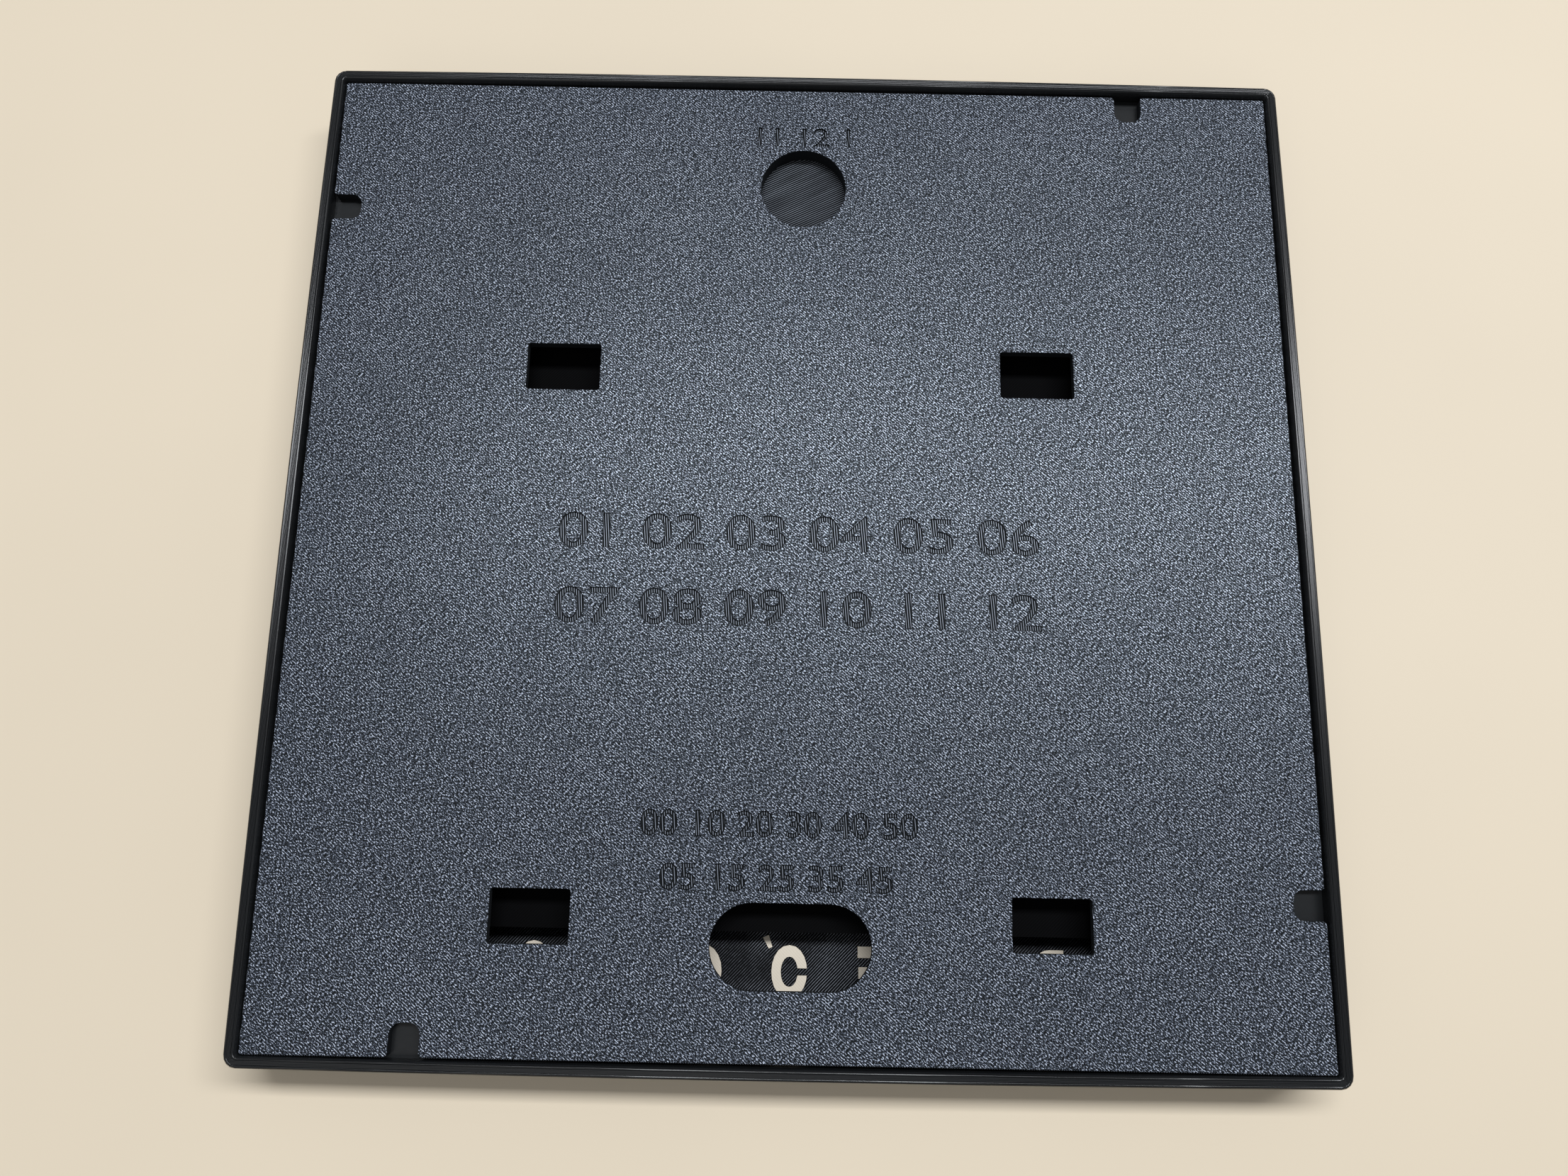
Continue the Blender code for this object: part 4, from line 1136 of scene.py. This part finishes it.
def makeSwitch(look, finishes):
    low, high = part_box("reset_switch")
    switch = copyNode("reset_switch", "resetSwitch")
    middle, well = (low + high).xy / 2, (high.y - low.y) / look["wellParts"]
    bevelEdges(switch, look["edge"], lambda edge, a, b: len(edge.link_faces) == 2
               and edge.calc_face_angle(0) > sharpAngle and (a.xy - middle).length >= well)
    paint(switch, finishes["metal"])
    parts = [switch]
    *size, thick = look["leg"]
    for x in (low.x, high.x):
        for y in (low.y + size[1], high.y - size[1]):
            leg = slab("leg", x, y, size, boardHigh.z, low.z + thick, thick / 4)
            paint(leg, finishes["metal"])
            parts.append(leg)
    switch = join("resetSwitch", parts)
    roundShading(switch)
    handOver(switch, "case", "switch_body", "reset_switch")
    button = copyNode("reset_button", "resetButton")
    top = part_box("reset_button")[1].z
    bevelEdges(button, look["capRound"], lambda edge, a, b: min(a.z, b.z) > top - weld
               and edge.calc_face_angle(0) > look["capAngle"])
    paint(button, speckled("buttonPlastic", look["cap"], 0.35, grain=0.0002))
    roundShading(button, look["capSmooth"])
    handOver(button, "reset_button", "button_cap", "reset_button")


screwLook = {
    "steel": (0.30, 0.29, 0.28),
    "slot": (0.00055, 0.0025, 0.0009),
    "slotTaper": 0.6,
    "thread": 0.00013,
    "threadPitch": 0.0008,
    "plainCuts": 2,  # half pitches left plain at the tip
    "smooth": 35,
}


def cutSlots(screw, middle, top, look):  # a cross, narrower towards its floor
    wide, long, deep = look["slot"]
    for across, along in ((wide, long), (long, wide)):
        slot = slab("slot", middle.x, middle.y, (across, along), top - deep, top + deep)
        startEditing(slot)
        chooseFaces(slot, lambda centre, normal: normal.z < -facingShare)
        taper = (look["slotTaper"], 1, 1) if across > along else (1, look["slotTaper"], 1)
        bpy.ops.transform.resize(value=taper)
        stopEditing()
        carve(screw, slot)


def cutThread(screw, middle, low, top, look):
    cuts = int((top - low) / look["threadPitch"] * 2) - look["plainCuts"]
    startEditing(screw)
    for cut in range(cuts):
        bpy.ops.mesh.select_all(action="SELECT")
        place = (0, 0, top - (cut + 1) * look["threadPitch"] / 2)
        bpy.ops.mesh.bisect(plane_co=place, plane_no=(0, 0, 1))
        if cut % 2:
            shape = bmesh.from_edit_mesh(screw.data)
            for vertex in [vertex for vertex in shape.verts if vertex.select]:
                vertex.co.xy -= (vertex.co.xy - middle.xy).normalized() * look["thread"]
            bmesh.update_edit_mesh(screw.data)
    stopEditing()


def makeScrews(look):
    finish = speckled("screwSteel", look["steel"], 0.32, 1.0, 0.0006)
    for number in range(1, 5):
        nodeName = f"carrier_screw_{number}"
        low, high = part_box(nodeName)
        middle = (low + high) / 2
        screw = copyNode(nodeName, f"carrierScrew{number}")
        cutSlots(screw, middle, high.z, look)
        cutThread(screw, middle, low.z, carrierHigh.z, look)
        paint(screw, finish)
        roundShading(screw, look["smooth"])
        handOver(screw, "case", "screw_steel", nodeName)


partFinishes = boardFinishes(boardLook)
makeBoard(boardLook, partFinishes)
makeRadio(boardLook, partFinishes)
makeSocket(socketLook, partFinishes)
makeSwitch(switchLook, partFinishes)
makeScrews(screwLook)
print("controller and screws done")


# Floor, light and camera

stageLook = {
    "floor": (0.71, 0.61, 0.465),
    "deeper": 0.95,
    "cloud": 0.15,
    "floorSize": 4.0,
    "floorZ": -0.0001,
    "roughness": 0.6,
    "world": (0.93, 0.96, 1.0),
    "worldStrength": 0.25,
}
lampLook = {  # place, size, power and colour of each soft lamp
    "north": ((0.62, 0.79, 2.3), (2.5, 0.36), 68.0, (0.93, 0.96, 1.0)),
    "fill": ((-0.5, -0.9, 1.4), (1.2, 1.2), 4.0, (1.0, 0.98, 0.95)),
}
cameraLook = {
    "place": (-0.00244481, -0.06373159, 0.24676288),
    "turn": (12.763487, -0.240406, 1.095786),
    "lens": 27.6701,
    "sensor": 36.0,
    "nearest": 0.01,
}


def makeStage(look):
    bpy.ops.object.select_all(action="DESELECT")
    bpy.ops.mesh.primitive_plane_add(size=look["floorSize"], location=(0, 0, look["floorZ"]))
    floor = bpy.context.object
    floor.name = "floor"
    made, tree, shader = newFinish("paleFloor", Roughness=look["roughness"])
    pale = look["floor"]
    deeper = tuple(channel * look["deeper"] for channel in pale)
    wire(tree, ramp(tree, noise(tree, look["cloud"], 3.0), (0.3, deeper), (0.7, pale)), shader, "Base Color")
    paint(floor, made)
    world = bpy.data.worlds.new("softStudio")
    world.use_nodes = True
    sky = world.node_tree.nodes["Background"]
    sky.inputs["Color"].default_value = (*look["world"], 1.0)
    sky.inputs["Strength"].default_value = look["worldStrength"]
    bpy.context.scene.world = world


def makeLamps(look):
    for name, (place, size, power, colour) in look.items():
        data = bpy.data.lights.new(name, "AREA")
        data.shape = "RECTANGLE"
        data.size, data.size_y = size
        data.energy = power
        data.color = colour
        lamp = bpy.data.objects.new(name, data)
        lamp.location = place
        aim = Vector((place[0], 0, 0)) - Vector(place)
        lamp.rotation_euler = aim.to_track_quat("-Z", "Y").to_euler()
        bpy.context.scene.collection.objects.link(lamp)


def makeCamera(look):
    data = bpy.data.cameras.new("camera")
    data.sensor_width = look["sensor"]
    data.lens = look["lens"]
    data.clip_start = look["nearest"]
    camera = bpy.data.objects.new("camera", data)
    camera.location = look["place"]
    camera.rotation_euler = [math.radians(angle) for angle in look["turn"]]
    bpy.context.scene.collection.objects.link(camera)
    bpy.context.scene.camera = camera


makeStage(stageLook)
makeLamps(lampLook)
makeCamera(cameraLook)
bpy.context.scene.view_settings.view_transform = "Standard"
print("stage done")
